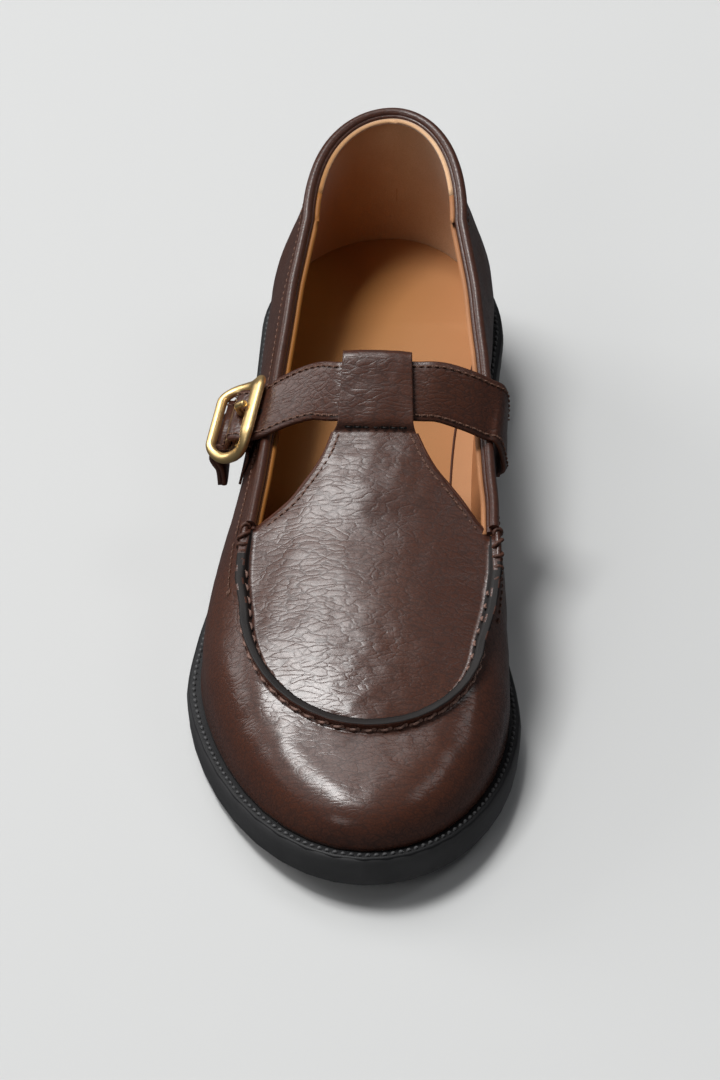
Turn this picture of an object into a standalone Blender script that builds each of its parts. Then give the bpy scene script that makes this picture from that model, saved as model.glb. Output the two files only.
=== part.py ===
"""Mary jane shoe, right foot: T-bar upper with a raised moc seam, welted rubber sole and a buckled strap.

Metres, +Z up. The toe points to -Y, the heel to +Y, and +X is the medial (inner) side, so the buckle
is at -X. The floor is z = 0 and the origin lies under the middle of the outsole's box. Inside this file
a place along the shoe is its distance from the back of the heel, called run.
"""
from collections import namedtuple
import math

import bmesh
import bpy
from mathutils import Matrix, Vector

# Overall sizes of the last and the sole
LENGTH = 0.264
BALL_LATERAL = 0.0508
BALL_MEDIAL = 0.0466
HEEL_LATERAL = 0.0350
HEEL_MEDIAL = 0.0384
HEEL_CENTRE_X = 0.0040
TOE_TIP_X = 0.0030
HEEL_PIVOT = 0.045
BALL_RUN_LATERAL = 0.187
BALL_RUN_MEDIAL = 0.198
HEEL_RISE = 0.0152
TOE_SPRING = 0.0072
OUTSOLE_THICKNESS = 0.0080
OUTSOLE_EDGE = 0.0009
WELT_THICKNESS = 0.0032
WELT_WIDTH = 0.0105
HEEL_BLOCK_LENGTH = 0.062
HEEL_BLOCK_TAPER = 0.0014
INSOLE_THICKNESS = 0.0024

# Sizes of the upper
UPPER_WALL = 0.0016
TOPLINE_BACK_RUN = 0.0050
TOPLINE_BACK_HEIGHT = 0.0800
CORNER_RUN = 0.161
CORNER_HEIGHT = 0.0495
SEAM_TIP_RUN = 0.2285
SEAM_TIP_HEIGHT = 0.0345
RIDGE_HEIGHT = 0.0030
RIDGE_WIDTH = 0.0026
BINDING_RADIUS = 0.0018
LOW_REACH = 0.42
TOP_REACH = 0.42

# Sizes of the strap, the T-bar that holds it and the buckle
TAB_CENTRE_X = 0.0023
TAB_HALF = 0.0102
TAB_CROWN = 0.0006
TAB_FLARE = 0.0012
STRAP_WIDTH = 0.0180
STRAP_THICKNESS = 0.0020
STRAP_RUN = 0.1218
STRAP_HEIGHT = 0.0713
STRAP_SLOPE = math.radians(33)
LOOP_CLEARANCE = 0.0004
STITCH_REACH = 0.0038
BUCKLE_WIDTH = 0.0288
BUCKLE_LENGTH = 0.0198
BUCKLE_WIRE_WIDTH = 0.0047
BUCKLE_WIRE_THICKNESS = 0.0032
BUCKLE_ARCH = 0.0030
BUCKLE_CORNER = 0.0072
BAR_RADIUS = 0.0008
PRONG_RADIUS = 0.0011
PRONG_HOLE_RADIUS = 0.0016
KEEPER_WIDTH = 0.0160
KEEPER_THICKNESS = 0.0008
KEEPER_SLOT = 0.0050
BUCKLE_OUT = 0.0066
BUCKLE_BACK = 0.0058
STRAP_ARCH = 0.0100
MEDIAL_CLEAR = (0.0028, 0.0015, 0.0008)
BUCKLE_DROP = 0.0010

GAP = 0.0003

# Mesh density
HEEL_STEPS = 8
REAR_STEPS = 10
FRONT_STEPS = 3
TOE_STEPS = 10
WALL_ROWS = 9
APRON_POINTS = 12
THROAT_RIBS = 8
KEEPER_STEPS = 3
LOOP_RUN_RIBS = 5
LOOP_TURN_RIBS = 6

LATERAL, MEDIAL = -1, 1
UP = Vector((0.0, 0.0, 1.0))

# Half width of the sole's outline between the heel's pivot and the ball, as a share of the way from the
# heel's half width (0) to the ball's (1)
Outline = namedtuple("Outline", "share blend")
OUTLINE_LATERAL = [Outline(*row) for row in (
    (0.170, 0.00), (0.239, 0.044), (0.379, 0.19), (0.4545, 0.335), (0.530, 0.541),
    (0.580, 0.709), (0.629, 0.867), (0.708, 1.00), (0.80, 1.00))]
OUTLINE_MEDIAL = [Outline(*row) for row in (
    (0.170, 0.00), (0.239, -0.183), (0.341, -0.602), (0.424, -0.683), (0.511, -0.459),
    (0.587, 0.012), (0.655, 0.516), (0.708, 0.854), (0.750, 1.00), (0.80, 1.00))]

# Rise of the sole's top: shares of the heel rise along the shoe
Rise = namedtuple("Rise", "share lift")
RISE_ROWS = [Rise(*row) for row in (
    (0.0, 1.00), (0.10, 1.00), (0.19, 0.97), (0.34, 0.64), (0.49, 0.21), (0.60, 0.0), (1.0, 0.0))]
SPRING_START = 0.70

# Top line of the wall (topline behind, seam in front): inset from the outline, as a share of the ball
TopInset = namedtuple("TopInset", "share inset")
TOP_LATERAL = [TopInset(*row) for row in (
    (0.170, 0.252), (0.216, 0.220), (0.260, 0.195), (0.305, 0.185), (0.380, 0.175), (0.4545, 0.183),
    (0.545, 0.217), (0.610, 0.248), (0.665, 0.274), (0.708, 0.319))]
TOP_MEDIAL = [TopInset(*row) for row in (
    (0.170, 0.2515), (0.212, 0.185), (0.280, 0.075), (0.350, -0.017), (0.424, -0.058), (0.504, -0.049),
    (0.553, -0.032), (0.600, 0.011), (0.625, 0.032), (0.683, 0.122), (0.750, 0.242))]

# Height of the topline as a share of the way from the corner's height to the heel's, and of the seam as
# a share of the way from its tip's height to the corner's
Height = namedtuple("Height", "share lift")
TOPLINE_HEIGHTS = [Height(*row) for row in (
    (0.0, 1.00), (0.076, 0.90), (0.150, 0.72), (0.227, 0.51), (0.303, 0.33), (0.379, 0.197),
    (0.4545, 0.115), (0.530, 0.05), (0.610, 0.0))]
SEAM_HEIGHTS = [Height(*row) for row in (
    (0.610, 1.00), (0.682, 0.63), (0.757, 0.37), (0.814, 0.17), (0.871, 0.0))]

# The wall's lean in degrees above the horizontal at its foot and at its top, and its ledge on the welt
Wall = namedtuple("Wall", "share foot_lateral top_lateral ledge_lateral foot_medial top_medial ledge_medial")
WALL_ROWS_TABLE = [Wall(*row) for row in (
    (0.00, 82, 84, 0.0034, 82, 84, 0.0034),
    (0.08, 82, 80, 0.0030, 76, 80, 0.0034),
    (0.17, 84, 74, 0.0024, 76, 80, 0.0032),
    (0.30, 86, 68, 0.0022, 74, 82, 0.0024),
    (0.42, 87, 68, 0.0024, 66, 88, 0.0020),
    (0.55, 86, 60, 0.0028, 70, 82, 0.0023),
    (0.68, 86, 46, 0.0037, 82, 66, 0.0028),
    (0.78, 88, 30, 0.0037, 86, 42, 0.0030),
    (0.88, 87, 18, 0.0033, 87, 22, 0.0030),
    (1.00, 86, 12, 0.0030, 86, 12, 0.0030))]

# Height of the apron's middle over its edges, as a share of the corner's height
Crown = namedtuple("Crown", "share crown")
CROWN_ROWS = [Crown(*row) for row in (
    (0.51, 0.024), (0.55, 0.055), (0.61, 0.112), (0.68, 0.128), (0.76, 0.088), (0.815, 0.050),
    (0.855, 0.018), (0.871, 0.0))]

# Throat edge from the corner (0) to the stitch line (1): how far each side still flares from the tab's
# edge (0) to the corner (1)
Throat = namedtuple("Throat", "share flare_lateral flare_medial lift")
THROAT_ROWS = [Throat(*row) for row in (
    (0.00, 1.00, 1.00, 0.00), (0.15, 0.755, 0.82, 0.17), (0.31, 0.52, 0.65, 0.37),
    (0.47, 0.37, 0.47, 0.54), (0.62, 0.24, 0.30, 0.68), (0.80, 0.120, 0.15, 0.85),
    (1.00, 0.04, 0.03, 1.00))]


def clear_scene():
    for item in list(bpy.data.objects):
        bpy.data.objects.remove(item, do_unlink=True)


def read(rows, column, share):
    """Monotone cubic through one column of a table at a share of the table's first column."""
    xs = [row.share for row in rows]
    ys = [getattr(row, column) for row in rows]
    if share <= xs[0]:
        return ys[0]
    if share >= xs[-1]:
        return ys[-1]
    steps = [b - a for a, b in zip(xs, xs[1:])]
    slopes = [(b - a) / step for a, b, step in zip(ys, ys[1:], steps)]
    tangents = [slopes[0]]
    for i in range(1, len(slopes)):
        if slopes[i - 1] * slopes[i] > 0:
            before = 2 * steps[i] + steps[i - 1]
            after = steps[i] + 2 * steps[i - 1]
            tangents.append((before + after) / (before / slopes[i - 1] + after / slopes[i]))
        else:
            tangents.append(0.0)
    tangents.append(slopes[-1])
    i = max(k for k in range(len(steps)) if xs[k] <= share)
    t = (share - xs[i]) / steps[i]
    return (ys[i] * (2 * t ** 3 - 3 * t ** 2 + 1) + tangents[i] * steps[i] * (t ** 3 - 2 * t ** 2 + t)
            + ys[i + 1] * (3 * t ** 2 - 2 * t ** 3) + tangents[i + 1] * steps[i] * (t ** 3 - t ** 2))


def blend(a, b, t):
    return a + (b - a) * t


def world(x, run, z):
    """World point of a place given by its distance from the centre line and from the heel's back."""
    return Vector((x + (BALL_LATERAL - BALL_MEDIAL) / 2, LENGTH / 2 - run, z))


# Round the shoe
# A column is one place round the outline: its side, its zone and how far through that zone it lies.
Column = namedtuple("Column", "side zone turn")
BACK = Column(MEDIAL, "heel", 0.0)
TIP = Column(MEDIAL, "toe", 1.0)


def side_columns(side):
    zones = (("heel", HEEL_STEPS), ("rear", REAR_STEPS), ("front", FRONT_STEPS), ("toe", TOE_STEPS))
    columns = [Column(side, zone, k / steps) for zone, steps in zones for k in range(1, steps + 1)]
    return columns[:-1]


def ring_columns():
    """All columns in order: heel back, medial side, toe tip, lateral side."""
    return [BACK] + side_columns(MEDIAL) + [TIP] + side_columns(LATERAL)[::-1]


def ball_run(side):
    return BALL_RUN_MEDIAL if side == MEDIAL else BALL_RUN_LATERAL


def outline_half(side, run):
    rows, heel, ball = ((OUTLINE_MEDIAL, HEEL_MEDIAL, BALL_MEDIAL) if side == MEDIAL
                        else (OUTLINE_LATERAL, HEEL_LATERAL, BALL_LATERAL))
    return blend(heel, ball, read(rows, "blend", run / LENGTH))


def rail(column, inset, back_run, tip_run, power=1.0):
    """Plan position (x, run) of a column on a line that lies an inset inside the outline."""
    side = column.side
    if column.zone == "heel":
        angle = (1 - column.turn) * math.pi / 2
        half = side * (outline_half(side, HEEL_PIVOT) - inset(side, HEEL_PIVOT))
        return (blend(HEEL_CENTRE_X, half, math.cos(angle)),
                HEEL_PIVOT - (HEEL_PIVOT - back_run) * math.sin(angle))
    if column.zone == "toe":
        angle = column.turn * math.pi / 2
        start = ball_run(side)
        half = side * (outline_half(side, start) - inset(side, start))
        return (blend(TOE_TIP_X, half, math.cos(angle)),
                start + (tip_run - start) * math.sin(angle) ** power)
    if column.zone == "rear":
        run = blend(HEEL_PIVOT, CORNER_RUN, column.turn)
    else:
        run = blend(CORNER_RUN, ball_run(side), column.turn)
    return side * (outline_half(side, run) - inset(side, run)), run


def toe_power(side):
    """The lateral side of the toe runs in straighter than an ellipse."""
    return 1.0 if side == MEDIAL else 4 / 3


def sole_line(column, inset=0.0):
    return rail(column, lambda side, run: inset, inset, LENGTH - inset, toe_power(column.side))


def ledge(side, run):
    return read(WALL_ROWS_TABLE, "ledge_medial" if side == MEDIAL else "ledge_lateral", run / LENGTH)


def feather_line(column, inset=0.0):
    """Foot of the upper on the welt, or a line inside it."""
    return rail(column, lambda side, run: ledge(side, run) + inset, ledge(MEDIAL, 0.0) + inset,
                LENGTH - ledge(MEDIAL, LENGTH) - inset, toe_power(column.side))


def top_inset(side, run):
    rows, ball = (TOP_MEDIAL, BALL_MEDIAL) if side == MEDIAL else (TOP_LATERAL, BALL_LATERAL)
    return read(rows, "inset", run / LENGTH) * ball


def top_line(column):
    """Topline behind the corners, outer foot of the raised seam in front of them."""
    return rail(column, top_inset, TOPLINE_BACK_RUN, SEAM_TIP_RUN)


def top_height(run):
    share = run / LENGTH
    if run <= CORNER_RUN:
        return blend(CORNER_HEIGHT, TOPLINE_BACK_HEIGHT, read(TOPLINE_HEIGHTS, "lift", share))
    return blend(SEAM_TIP_HEIGHT, CORNER_HEIGHT, read(SEAM_HEIGHTS, "lift", share))


def outward(column):
    """Horizontal unit vector that points out of the shoe at a column."""
    x, run = sole_line(column)
    if column.zone == "heel":
        return (world(x, run, 0) - world(HEEL_CENTRE_X, HEEL_PIVOT, 0)).normalized()
    if column.zone == "toe":
        return (world(x, run, 0) - world(TOE_TIP_X, ball_run(column.side), 0)).normalized()
    return Vector((column.side, 0.0, 0.0))


# Heights of the layers, from the floor up
def outsole_bottom(run):
    share = run / LENGTH
    spring = max(0.0, (share - SPRING_START) / (1 - SPRING_START)) ** 2 * TOE_SPRING
    return HEEL_RISE * read(RISE_ROWS, "lift", share) + spring


def outsole_top(run):
    return outsole_bottom(run) + OUTSOLE_THICKNESS


def welt_top(run):
    return outsole_top(run) + GAP + WELT_THICKNESS


def feather_height(run):
    return welt_top(run) + GAP


# Materials, objects and lofts
def material(name, colour, roughness, metallic=0.0):
    made = bpy.data.materials.new(name)
    made.use_nodes = True
    shader = made.node_tree.nodes["Principled BSDF"]
    shader.inputs["Base Color"].default_value = (*colour, 1.0)
    shader.inputs["Roughness"].default_value = roughness
    shader.inputs["Metallic"].default_value = metallic
    made.diffuse_color = (*colour, 1.0)
    return made


def collection(name):
    made = bpy.data.collections.new(name)
    bpy.context.scene.collection.children.link(made)
    return made


def add_object(name, data, group, finish, smooth_angle=None):
    item = bpy.data.objects.new(name, data)
    group.objects.link(item)
    if finish is not None:
        data.materials.append(finish)
    if smooth_angle is not None:
        data.shade_smooth()
        data.set_sharp_from_angle(angle=smooth_angle)
    return item


def mesh_from(name, points, faces):
    """Mesh of points and faces with its faces turned outwards."""
    shell = bmesh.new()
    verts = [shell.verts.new(point) for point in points]
    for face in faces:
        shell.faces.new([verts[i] for i in face])
    bmesh.ops.recalc_face_normals(shell, faces=shell.faces)
    data = bpy.data.meshes.new(name)
    shell.to_mesh(data)
    shell.free()
    return data


def ring_bands(count, size, closed):
    """Faces that join rings of equal size, each to the next, and the last to the first if closed."""
    faces = []
    for level in range(count if closed else count - 1):
        low = level * size
        high = (level + 1) % count * size
        for i in range(size):
            j = (i + 1) % size
            faces.append((low + i, low + j, high + j, high + i))
    return faces


def ring_cap(start, size):
    """Ribs across a ring that runs from the heel's back up one side and down the other."""
    faces = []
    for i in range((size - 1) // 2 + 1):
        face = [i, i + 1, size - i - 1, (size - i) % size]
        face = [k for n, k in enumerate(face) if k not in face[:n]]
        if len(face) > 2 and i + 1 <= size - i - 1:
            faces.append(tuple(start + k for k in face))
    return faces


def plate(name, rings):
    """Closed solid of stacked rings, capped below and above by ribs from side to side."""
    size = len(rings[0])
    points = [point for ring in rings for point in ring]
    faces = ring_bands(len(rings), size, False)
    faces += ring_cap(0, size) + ring_cap((len(rings) - 1) * size, size)
    return mesh_from(name, points, faces)


def sole_ring(columns, inset, height):
    ring = []
    for column in columns:
        x, run = sole_line(column, inset)
        ring.append(world(x, run, height(run)))
    return ring


def feather_ring(columns, inset, height):
    ring = []
    for column in columns:
        x, run = feather_line(column, inset)
        ring.append(world(x, run, height(run)))
    return ring


# Sole
def outsole_mesh():
    columns = ring_columns()
    return plate("outsole", [
        sole_ring(columns, OUTSOLE_EDGE, outsole_bottom),
        sole_ring(columns, 0.0, lambda run: outsole_bottom(run) + OUTSOLE_EDGE),
        sole_ring(columns, 0.0, lambda run: outsole_top(run) - OUTSOLE_EDGE),
        sole_ring(columns, OUTSOLE_EDGE, outsole_top)])


def heel_columns():
    """Columns of the heel block, from the breast's medial corner round the back to the lateral one."""
    breast = (HEEL_BLOCK_LENGTH - HEEL_PIVOT) / (CORNER_RUN - HEEL_PIVOT)
    medial = [Column(MEDIAL, "heel", k / HEEL_STEPS) for k in range(HEEL_STEPS + 1)]
    medial += [Column(MEDIAL, "rear", breast * k / 2) for k in (1, 2)]
    lateral = [column._replace(side=LATERAL) for column in medial[1:]]
    return medial + lateral[::-1]


def heel_mesh():
    columns = heel_columns()
    top = sole_ring(columns, OUTSOLE_EDGE, lambda run: outsole_bottom(run) - GAP)
    waist = sole_ring(columns, OUTSOLE_EDGE, lambda run: outsole_bottom(run) - GAP - HEEL_RISE / 3)
    foot = sole_ring(columns, HEEL_BLOCK_TAPER, lambda run: OUTSOLE_EDGE)
    tread = sole_ring(columns, HEEL_BLOCK_TAPER + OUTSOLE_EDGE, lambda run: 0.0)
    return plate("heel", [tread, foot, waist, top])


def welt_bottom(run):
    return outsole_top(run) + GAP


def welt_mesh():
    """Strip round the sole whose outer edge is the ledge that the stitches run along."""
    columns = ring_columns()
    edge = OUTSOLE_EDGE / 2
    rings = [sole_ring(columns, WELT_WIDTH, welt_bottom),
             sole_ring(columns, edge, welt_bottom),
             sole_ring(columns, 0.0, lambda run: welt_bottom(run) + edge),
             sole_ring(columns, 0.0, lambda run: welt_top(run) - edge),
             sole_ring(columns, edge, welt_top),
             sole_ring(columns, WELT_WIDTH, welt_top)]
    points = [point for ring in rings for point in ring]
    return mesh_from("welt", points, ring_bands(len(rings), len(columns), True))


def insole_top(run):
    return feather_height(run) + INSOLE_THICKNESS


def insole_mesh():
    """Footbed inside the upper, with its filler that drops into the welt's opening."""
    columns = ring_columns()
    inside = UPPER_WALL + 2 * GAP
    filler = WELT_WIDTH + GAP
    return plate("insole", [
        sole_ring(columns, filler, welt_bottom),
        sole_ring(columns, filler, feather_height),
        feather_ring(columns, inside, feather_height),
        feather_ring(columns, inside, lambda run: insole_top(run) - OUTSOLE_EDGE),
        feather_ring(columns, inside + OUTSOLE_EDGE, insole_top)])


# Upper
def wall_curve(column):
    """Control points of the wall from the feather line to the top line."""
    x, run = feather_line(column)
    foot = world(x, run, feather_height(run))
    top_x, top_run = top_line(column)
    top = world(top_x, top_run, top_height(top_run))
    name = "medial" if column.side == MEDIAL else "lateral"
    share = sole_line(column)[1] / LENGTH
    foot_lean = math.radians(read(WALL_ROWS_TABLE, "foot_" + name, share))
    top_lean = math.radians(read(WALL_ROWS_TABLE, "top_" + name, share))
    out = outward(column)
    reach = (top - foot).length
    low = foot + (out * math.cos(foot_lean) + UP * math.sin(foot_lean)) * reach * LOW_REACH
    high = top + (out * math.cos(top_lean) - UP * math.sin(top_lean)) * reach * TOP_REACH
    return foot, low, high, top


def wall_point(column, t):
    a, b, c, d = wall_curve(column)
    return a * (1 - t) ** 3 + b * 3 * t * (1 - t) ** 2 + c * 3 * t * t * (1 - t) + d * t ** 3


def top_direction(column):
    """Unit vector that leaves the wall's top edge along the wall, upwards and inwards."""
    high, top = wall_curve(column)[2:]
    return (top - high).normalized()


def top_normal(column):
    """Unit vector that points out of the wall at its top edge."""
    along = top_direction(column)
    out = outward(column)
    return (out * along.z - UP * along.dot(out)).normalized()


def ridge_share(column):
    """The raised seam starts low at the opening's corners and is full one step further on."""
    if column.zone == "rear":
        return 0.35
    if column.zone == "front" and column.turn < 0.5:
        return 0.8
    return 1.0


def ridge_points(column):
    """Outer top, inner top and inner foot of the raised seam over the wall's top edge."""
    foot = wall_point(column, 1.0)
    rise = (top_normal(column) + UP).normalized() * RIDGE_HEIGHT * ridge_share(column)
    across = -outward(column) * RIDGE_WIDTH
    return foot + rise, foot + rise + across, foot + across + UP * RIDGE_WIDTH * 0.15


def strap_frame():
    """Middle of the strap on the instep with its directions up the slope and out of it."""
    centre = world(TAB_CENTRE_X, STRAP_RUN, STRAP_HEIGHT)
    along = Vector((0.0, math.cos(STRAP_SLOPE), math.sin(STRAP_SLOPE)))
    out = Vector((0.0, -math.sin(STRAP_SLOPE), math.cos(STRAP_SLOPE)))
    return centre, along, out


def stitch_line_point():
    """Where the T-bar's outer face meets the stitch line in front of the strap."""
    centre, along, out = strap_frame()
    return centre - along * (STRAP_WIDTH / 2 + STITCH_REACH) + out * STRAP_THICKNESS / 2


def loop_profile():
    """Outer face of the T-bar round the strap, from the stitch line over it and back beneath."""
    centre, along, out = strap_frame()
    radius = STRAP_THICKNESS / 2 + LOOP_CLEARANCE + UPPER_WALL
    half = STRAP_WIDTH / 2
    start = -half - 3 * LOOP_CLEARANCE
    places = [(start - STITCH_REACH / 3, radius * 0.72), (start, radius * 0.97)]
    places += [(blend(start, half, k / LOOP_RUN_RIBS), radius) for k in range(1, LOOP_RUN_RIBS + 1)]
    for k in range(1, LOOP_TURN_RIBS):
        angle = math.pi * k / LOOP_TURN_RIBS
        places.append((half + radius * math.sin(angle), radius * math.cos(angle)))
    places += [(blend(half, start, k / LOOP_RUN_RIBS), -radius) for k in range(LOOP_RUN_RIBS + 1)]
    places.append((start - STITCH_REACH * 0.6, -radius * 0.86))
    return [centre + along * up_slope + out * lift for up_slope, lift in places]


def crown_shape(across):
    """Height of a rib over its edges, from 0 at the edges to 1 in the middle."""
    return 1 - across * across


def rib(left, right, crown):
    """Points of one rib from its lateral edge to its medial edge."""
    points = []
    for i in range(APRON_POINTS + 1):
        t = i / APRON_POINTS
        points.append(left.lerp(right, t) + UP * crown * crown_shape(2 * t - 1))
    return points


def apron_ribs(left_feet, right_feet):
    """Ribs between the seam's inner feet, front to back, without the one point at the tip."""
    ribs = []
    for left, right in zip(left_feet, right_feet):
        share = (LENGTH / 2 - (left.y + right.y) / 2) / LENGTH
        ribs.append(rib(left, right, read(CROWN_ROWS, "crown", share) * CORNER_HEIGHT))
    return ribs


def throat_ribs(left_corner, right_corner):
    """Ribs between the throat's cut edges, from the corners to the stitch line."""
    line = stitch_line_point()
    middle = line.x
    ribs = []
    for k in range(1, THROAT_RIBS + 1):
        share = k / THROAT_RIBS
        lift = read(THROAT_ROWS, "lift", share)
        sides = []
        for side, corner, flare in ((LATERAL, left_corner, "flare_lateral"),
                                    (MEDIAL, right_corner, "flare_medial")):
            x = blend(middle + side * (TAB_HALF + TAB_FLARE), corner.x, read(THROAT_ROWS, flare, share))
            sides.append(Vector((x, blend(corner.y, line.y, share),
                                 blend(corner.z, line.z - TAB_CROWN, lift))))
        run_share = (LENGTH / 2 - (sides[0].y + sides[1].y) / 2) / LENGTH
        crown = max(read(CROWN_ROWS, "crown", run_share) * CORNER_HEIGHT, TAB_CROWN)
        ribs.append(rib(sides[0], sides[1], blend(crown, TAB_CROWN, share ** 3)))
    return ribs


def loop_ribs():
    """Ribs of the T-bar where it wraps the strap."""
    ribs = []
    for step, place in enumerate(loop_profile()):
        half = TAB_HALF + TAB_FLARE * max(0.0, 1 - step / (LOOP_RUN_RIBS + 1))
        left = place - Vector((half, 0.0, TAB_CROWN))
        right = place + Vector((half, 0.0, -TAB_CROWN))
        ribs.append(rib(left, right, TAB_CROWN))
    return ribs


class Skin:
    """Outer face of the upper, with the flat face under its raised seam that the inside follows."""

    def __init__(self):
        self.points = []
        self.base = []
        self.faces = []

    def add(self, point, base=None):
        self.points.append(point)
        self.base.append(base or point)
        return len(self.points) - 1

    def strip(self, first, second):
        for i in range(len(first) - 1):
            face = [first[i], second[i], second[i + 1], first[i + 1]]
            face = [k for n, k in enumerate(face) if k not in face[:n]]
            self.faces.append(face)


def upper_skin():
    skin = Skin()
    columns = ring_columns()
    walls = {}
    for column in columns:
        walls[column] = [skin.add(wall_point(column, row / WALL_ROWS)) for row in range(WALL_ROWS + 1)]
    for column, after in zip(columns, columns[1:] + columns[:1]):
        skin.strip(walls[column], walls[after])

    corner = [Column(side, "rear", 1.0) for side in (LATERAL, MEDIAL)]
    seam = {}
    seam_columns = columns[columns.index(corner[1]):columns.index(corner[0]) + 1]
    for column in seam_columns:
        foot = wall_point(column, 1.0)
        outer, inner, inner_foot = ridge_points(column)
        seam[column] = [walls[column][-1],
                        skin.add(outer, foot.lerp(inner_foot, 1 / 3)),
                        skin.add(inner, foot.lerp(inner_foot, 2 / 3)),
                        skin.add(inner_foot)]
    for column, after in zip(seam_columns, seam_columns[1:]):
        skin.strip(seam[column], seam[after])

    halves = len(seam_columns) // 2
    right_feet = [seam[column][-1] for column in seam_columns[:halves]][::-1]
    left_feet = [seam[column][-1] for column in seam_columns[halves + 1:]]
    tip = seam[TIP][-1]
    ribs = apron_ribs([skin.points[i] for i in left_feet], [skin.points[i] for i in right_feet])
    previous = [tip] * (APRON_POINTS + 1)
    for left, right, points in zip(left_feet, right_feet, ribs):
        current = [left] + [skin.add(point) for point in points[1:-1]] + [right]
        skin.strip(previous, current)
        previous = current
    corners = [skin.points[previous[0]], skin.points[previous[-1]]]
    for points in throat_ribs(*corners) + loop_ribs():
        current = [skin.add(point) for point in points]
        skin.strip(previous, current)
        previous = current
    return skin


def upper_mesh():
    """Hollow upper: its outer skin, the same skin one wall further in, and the edges between them."""
    skin = upper_skin()
    shell = bmesh.new()
    verts = [shell.verts.new(point) for point in skin.base]
    for face in skin.faces:
        shell.faces.new([verts[i] for i in face])
    bmesh.ops.recalc_face_normals(shell, faces=shell.faces)
    shell.verts.index_update()
    shell.normal_update()
    probe = verts[skin.faces[WALL_ROWS // 2][0]]
    turn = 1 if probe.normal.y > 0 else -1
    inside = [vert.co - vert.normal * turn * UPPER_WALL for vert in verts]
    rims = [tuple(vert.index for vert in edge.verts) for edge in shell.edges if edge.is_boundary]
    shell.free()
    count = len(skin.points)
    faces = [tuple(face) for face in skin.faces]
    faces += [tuple(count + i for i in reversed(face)) for face in skin.faces]
    faces += [(a, b, count + b, count + a) for a, b in rims]
    return mesh_from("upper", skin.points + inside, faces)


# Binding along the topline
def binding_curve():
    """Rolled bead that sits on the topline from corner to corner, round the heel."""
    columns = ring_columns()
    corner = [Column(side, "rear", 1.0) for side in (LATERAL, MEDIAL)]
    start = columns.index(corner[0])
    around = columns[start:] + columns[:columns.index(corner[1]) + 1]
    points = []
    for column in around:
        middle = wall_point(column, 1.0) - top_normal(column) * UPPER_WALL / 2
        points.append(middle + top_direction(column) * (BINDING_RADIUS + GAP))
    setback = BINDING_RADIUS * 1.6
    for end, inner in ((0, 1), (-1, -2)):
        points[end] = points[end] + (points[inner] - points[end]).normalized() * setback
    return tube("binding", points, BINDING_RADIUS, 2)


def tube(name, points, radius, resolution):
    """Round cord through points, with filled caps."""
    data = bpy.data.curves.new(name, "CURVE")
    data.dimensions = "3D"
    data.bevel_depth = radius
    data.bevel_resolution = resolution
    data.use_fill_caps = True
    spline = data.splines.new("POLY")
    spline.points.add(len(points) - 1)
    for place, point in zip(spline.points, points):
        place.co = (*point, 1.0)
    return data


# Strap and buckle
def smooth_path(points, steps):
    """Catmull-Rom curve through points, with the given number of steps between each two."""
    ends = [points[0] * 2 - points[1]] + list(points) + [points[-1] * 2 - points[-2]]
    path = []
    for i in range(1, len(ends) - 2):
        a, b, c, d = ends[i - 1:i + 3]
        for k in range(steps):
            t = k / steps
            path.append((b * 2 + (c - a) * t + (a * 2 - b * 5 + c * 4 - d) * t * t
                         + (b * 3 - a - c * 3 + d) * t ** 3) / 2)
    path.append(points[-1])
    return path


def ribbon(name, path, hints, width, thickness, edge):
    """Flat band along a path: its width follows the hints, and its edges are chamfered."""
    half = width / 2
    thick = thickness / 2
    section = [(-half, -thick + edge), (-half + edge, -thick), (half - edge, -thick), (half, -thick + edge),
               (half, thick - edge), (half - edge, thick), (-half + edge, thick), (-half, thick - edge)]
    points = []
    for i, place in enumerate(path):
        along = (path[min(i + 1, len(path) - 1)] - path[max(i - 1, 0)]).normalized()
        across = (hints[i] - along * hints[i].dot(along)).normalized()
        out = along.cross(across)
        points += [place + across * u + out * v for u, v in section]
    size = len(section)
    faces = ring_bands(len(path), size, False)
    faces += [tuple(range(size)), tuple(range(len(points) - size, len(points)))]
    return mesh_from(name, points, faces)


def buckle_frame():
    """Middle of the buckle's bar, with its directions down the strap, along the bar and outwards."""
    x, run = top_line(Column(LATERAL, "rear", buckle_turn()))
    centre = world(x - BUCKLE_OUT, run, top_height(run) - BUCKLE_DROP)
    along = Vector((-0.650, 0.300, -0.700)).normalized()
    bar = Vector((-0.04, -0.985, -0.09))
    bar = (bar - along * bar.dot(along)).normalized()
    return centre, along, bar, along.cross(bar).normalized()


def turn_at(run):
    """How far a place lies through the rear zone of the sides."""
    return (run - HEEL_PIVOT) / (CORNER_RUN - HEEL_PIVOT)


def buckle_turn():
    """The buckle lies a little behind the strap's place on the instep."""
    return turn_at(STRAP_RUN - BUCKLE_BACK)


def tilt(degrees):
    """Direction across the strap, towards the toe and down by an angle."""
    angle = math.radians(degrees)
    return Vector((0.0, -math.cos(angle), -math.sin(angle)))


def strap_lift():
    """Height of the strap's middle over the buckle's bar: bar, keeper and half the strap."""
    return BAR_RADIUS + KEEPER_THICKNESS + 2 * GAP + STRAP_THICKNESS / 2


def strap_under():
    """Depth of the strap's middle under the buckle's two long sides, from the bar's middle."""
    lowest = BUCKLE_ARCH * 0.8
    return lowest - BUCKLE_WIRE_THICKNESS / 2 - GAP - STRAP_THICKNESS / 2


def tab_height(offset):
    """Height lost by the strap's middle at a distance from the tab's middle."""
    return TAB_CROWN * (offset / TAB_HALF) ** 2


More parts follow.
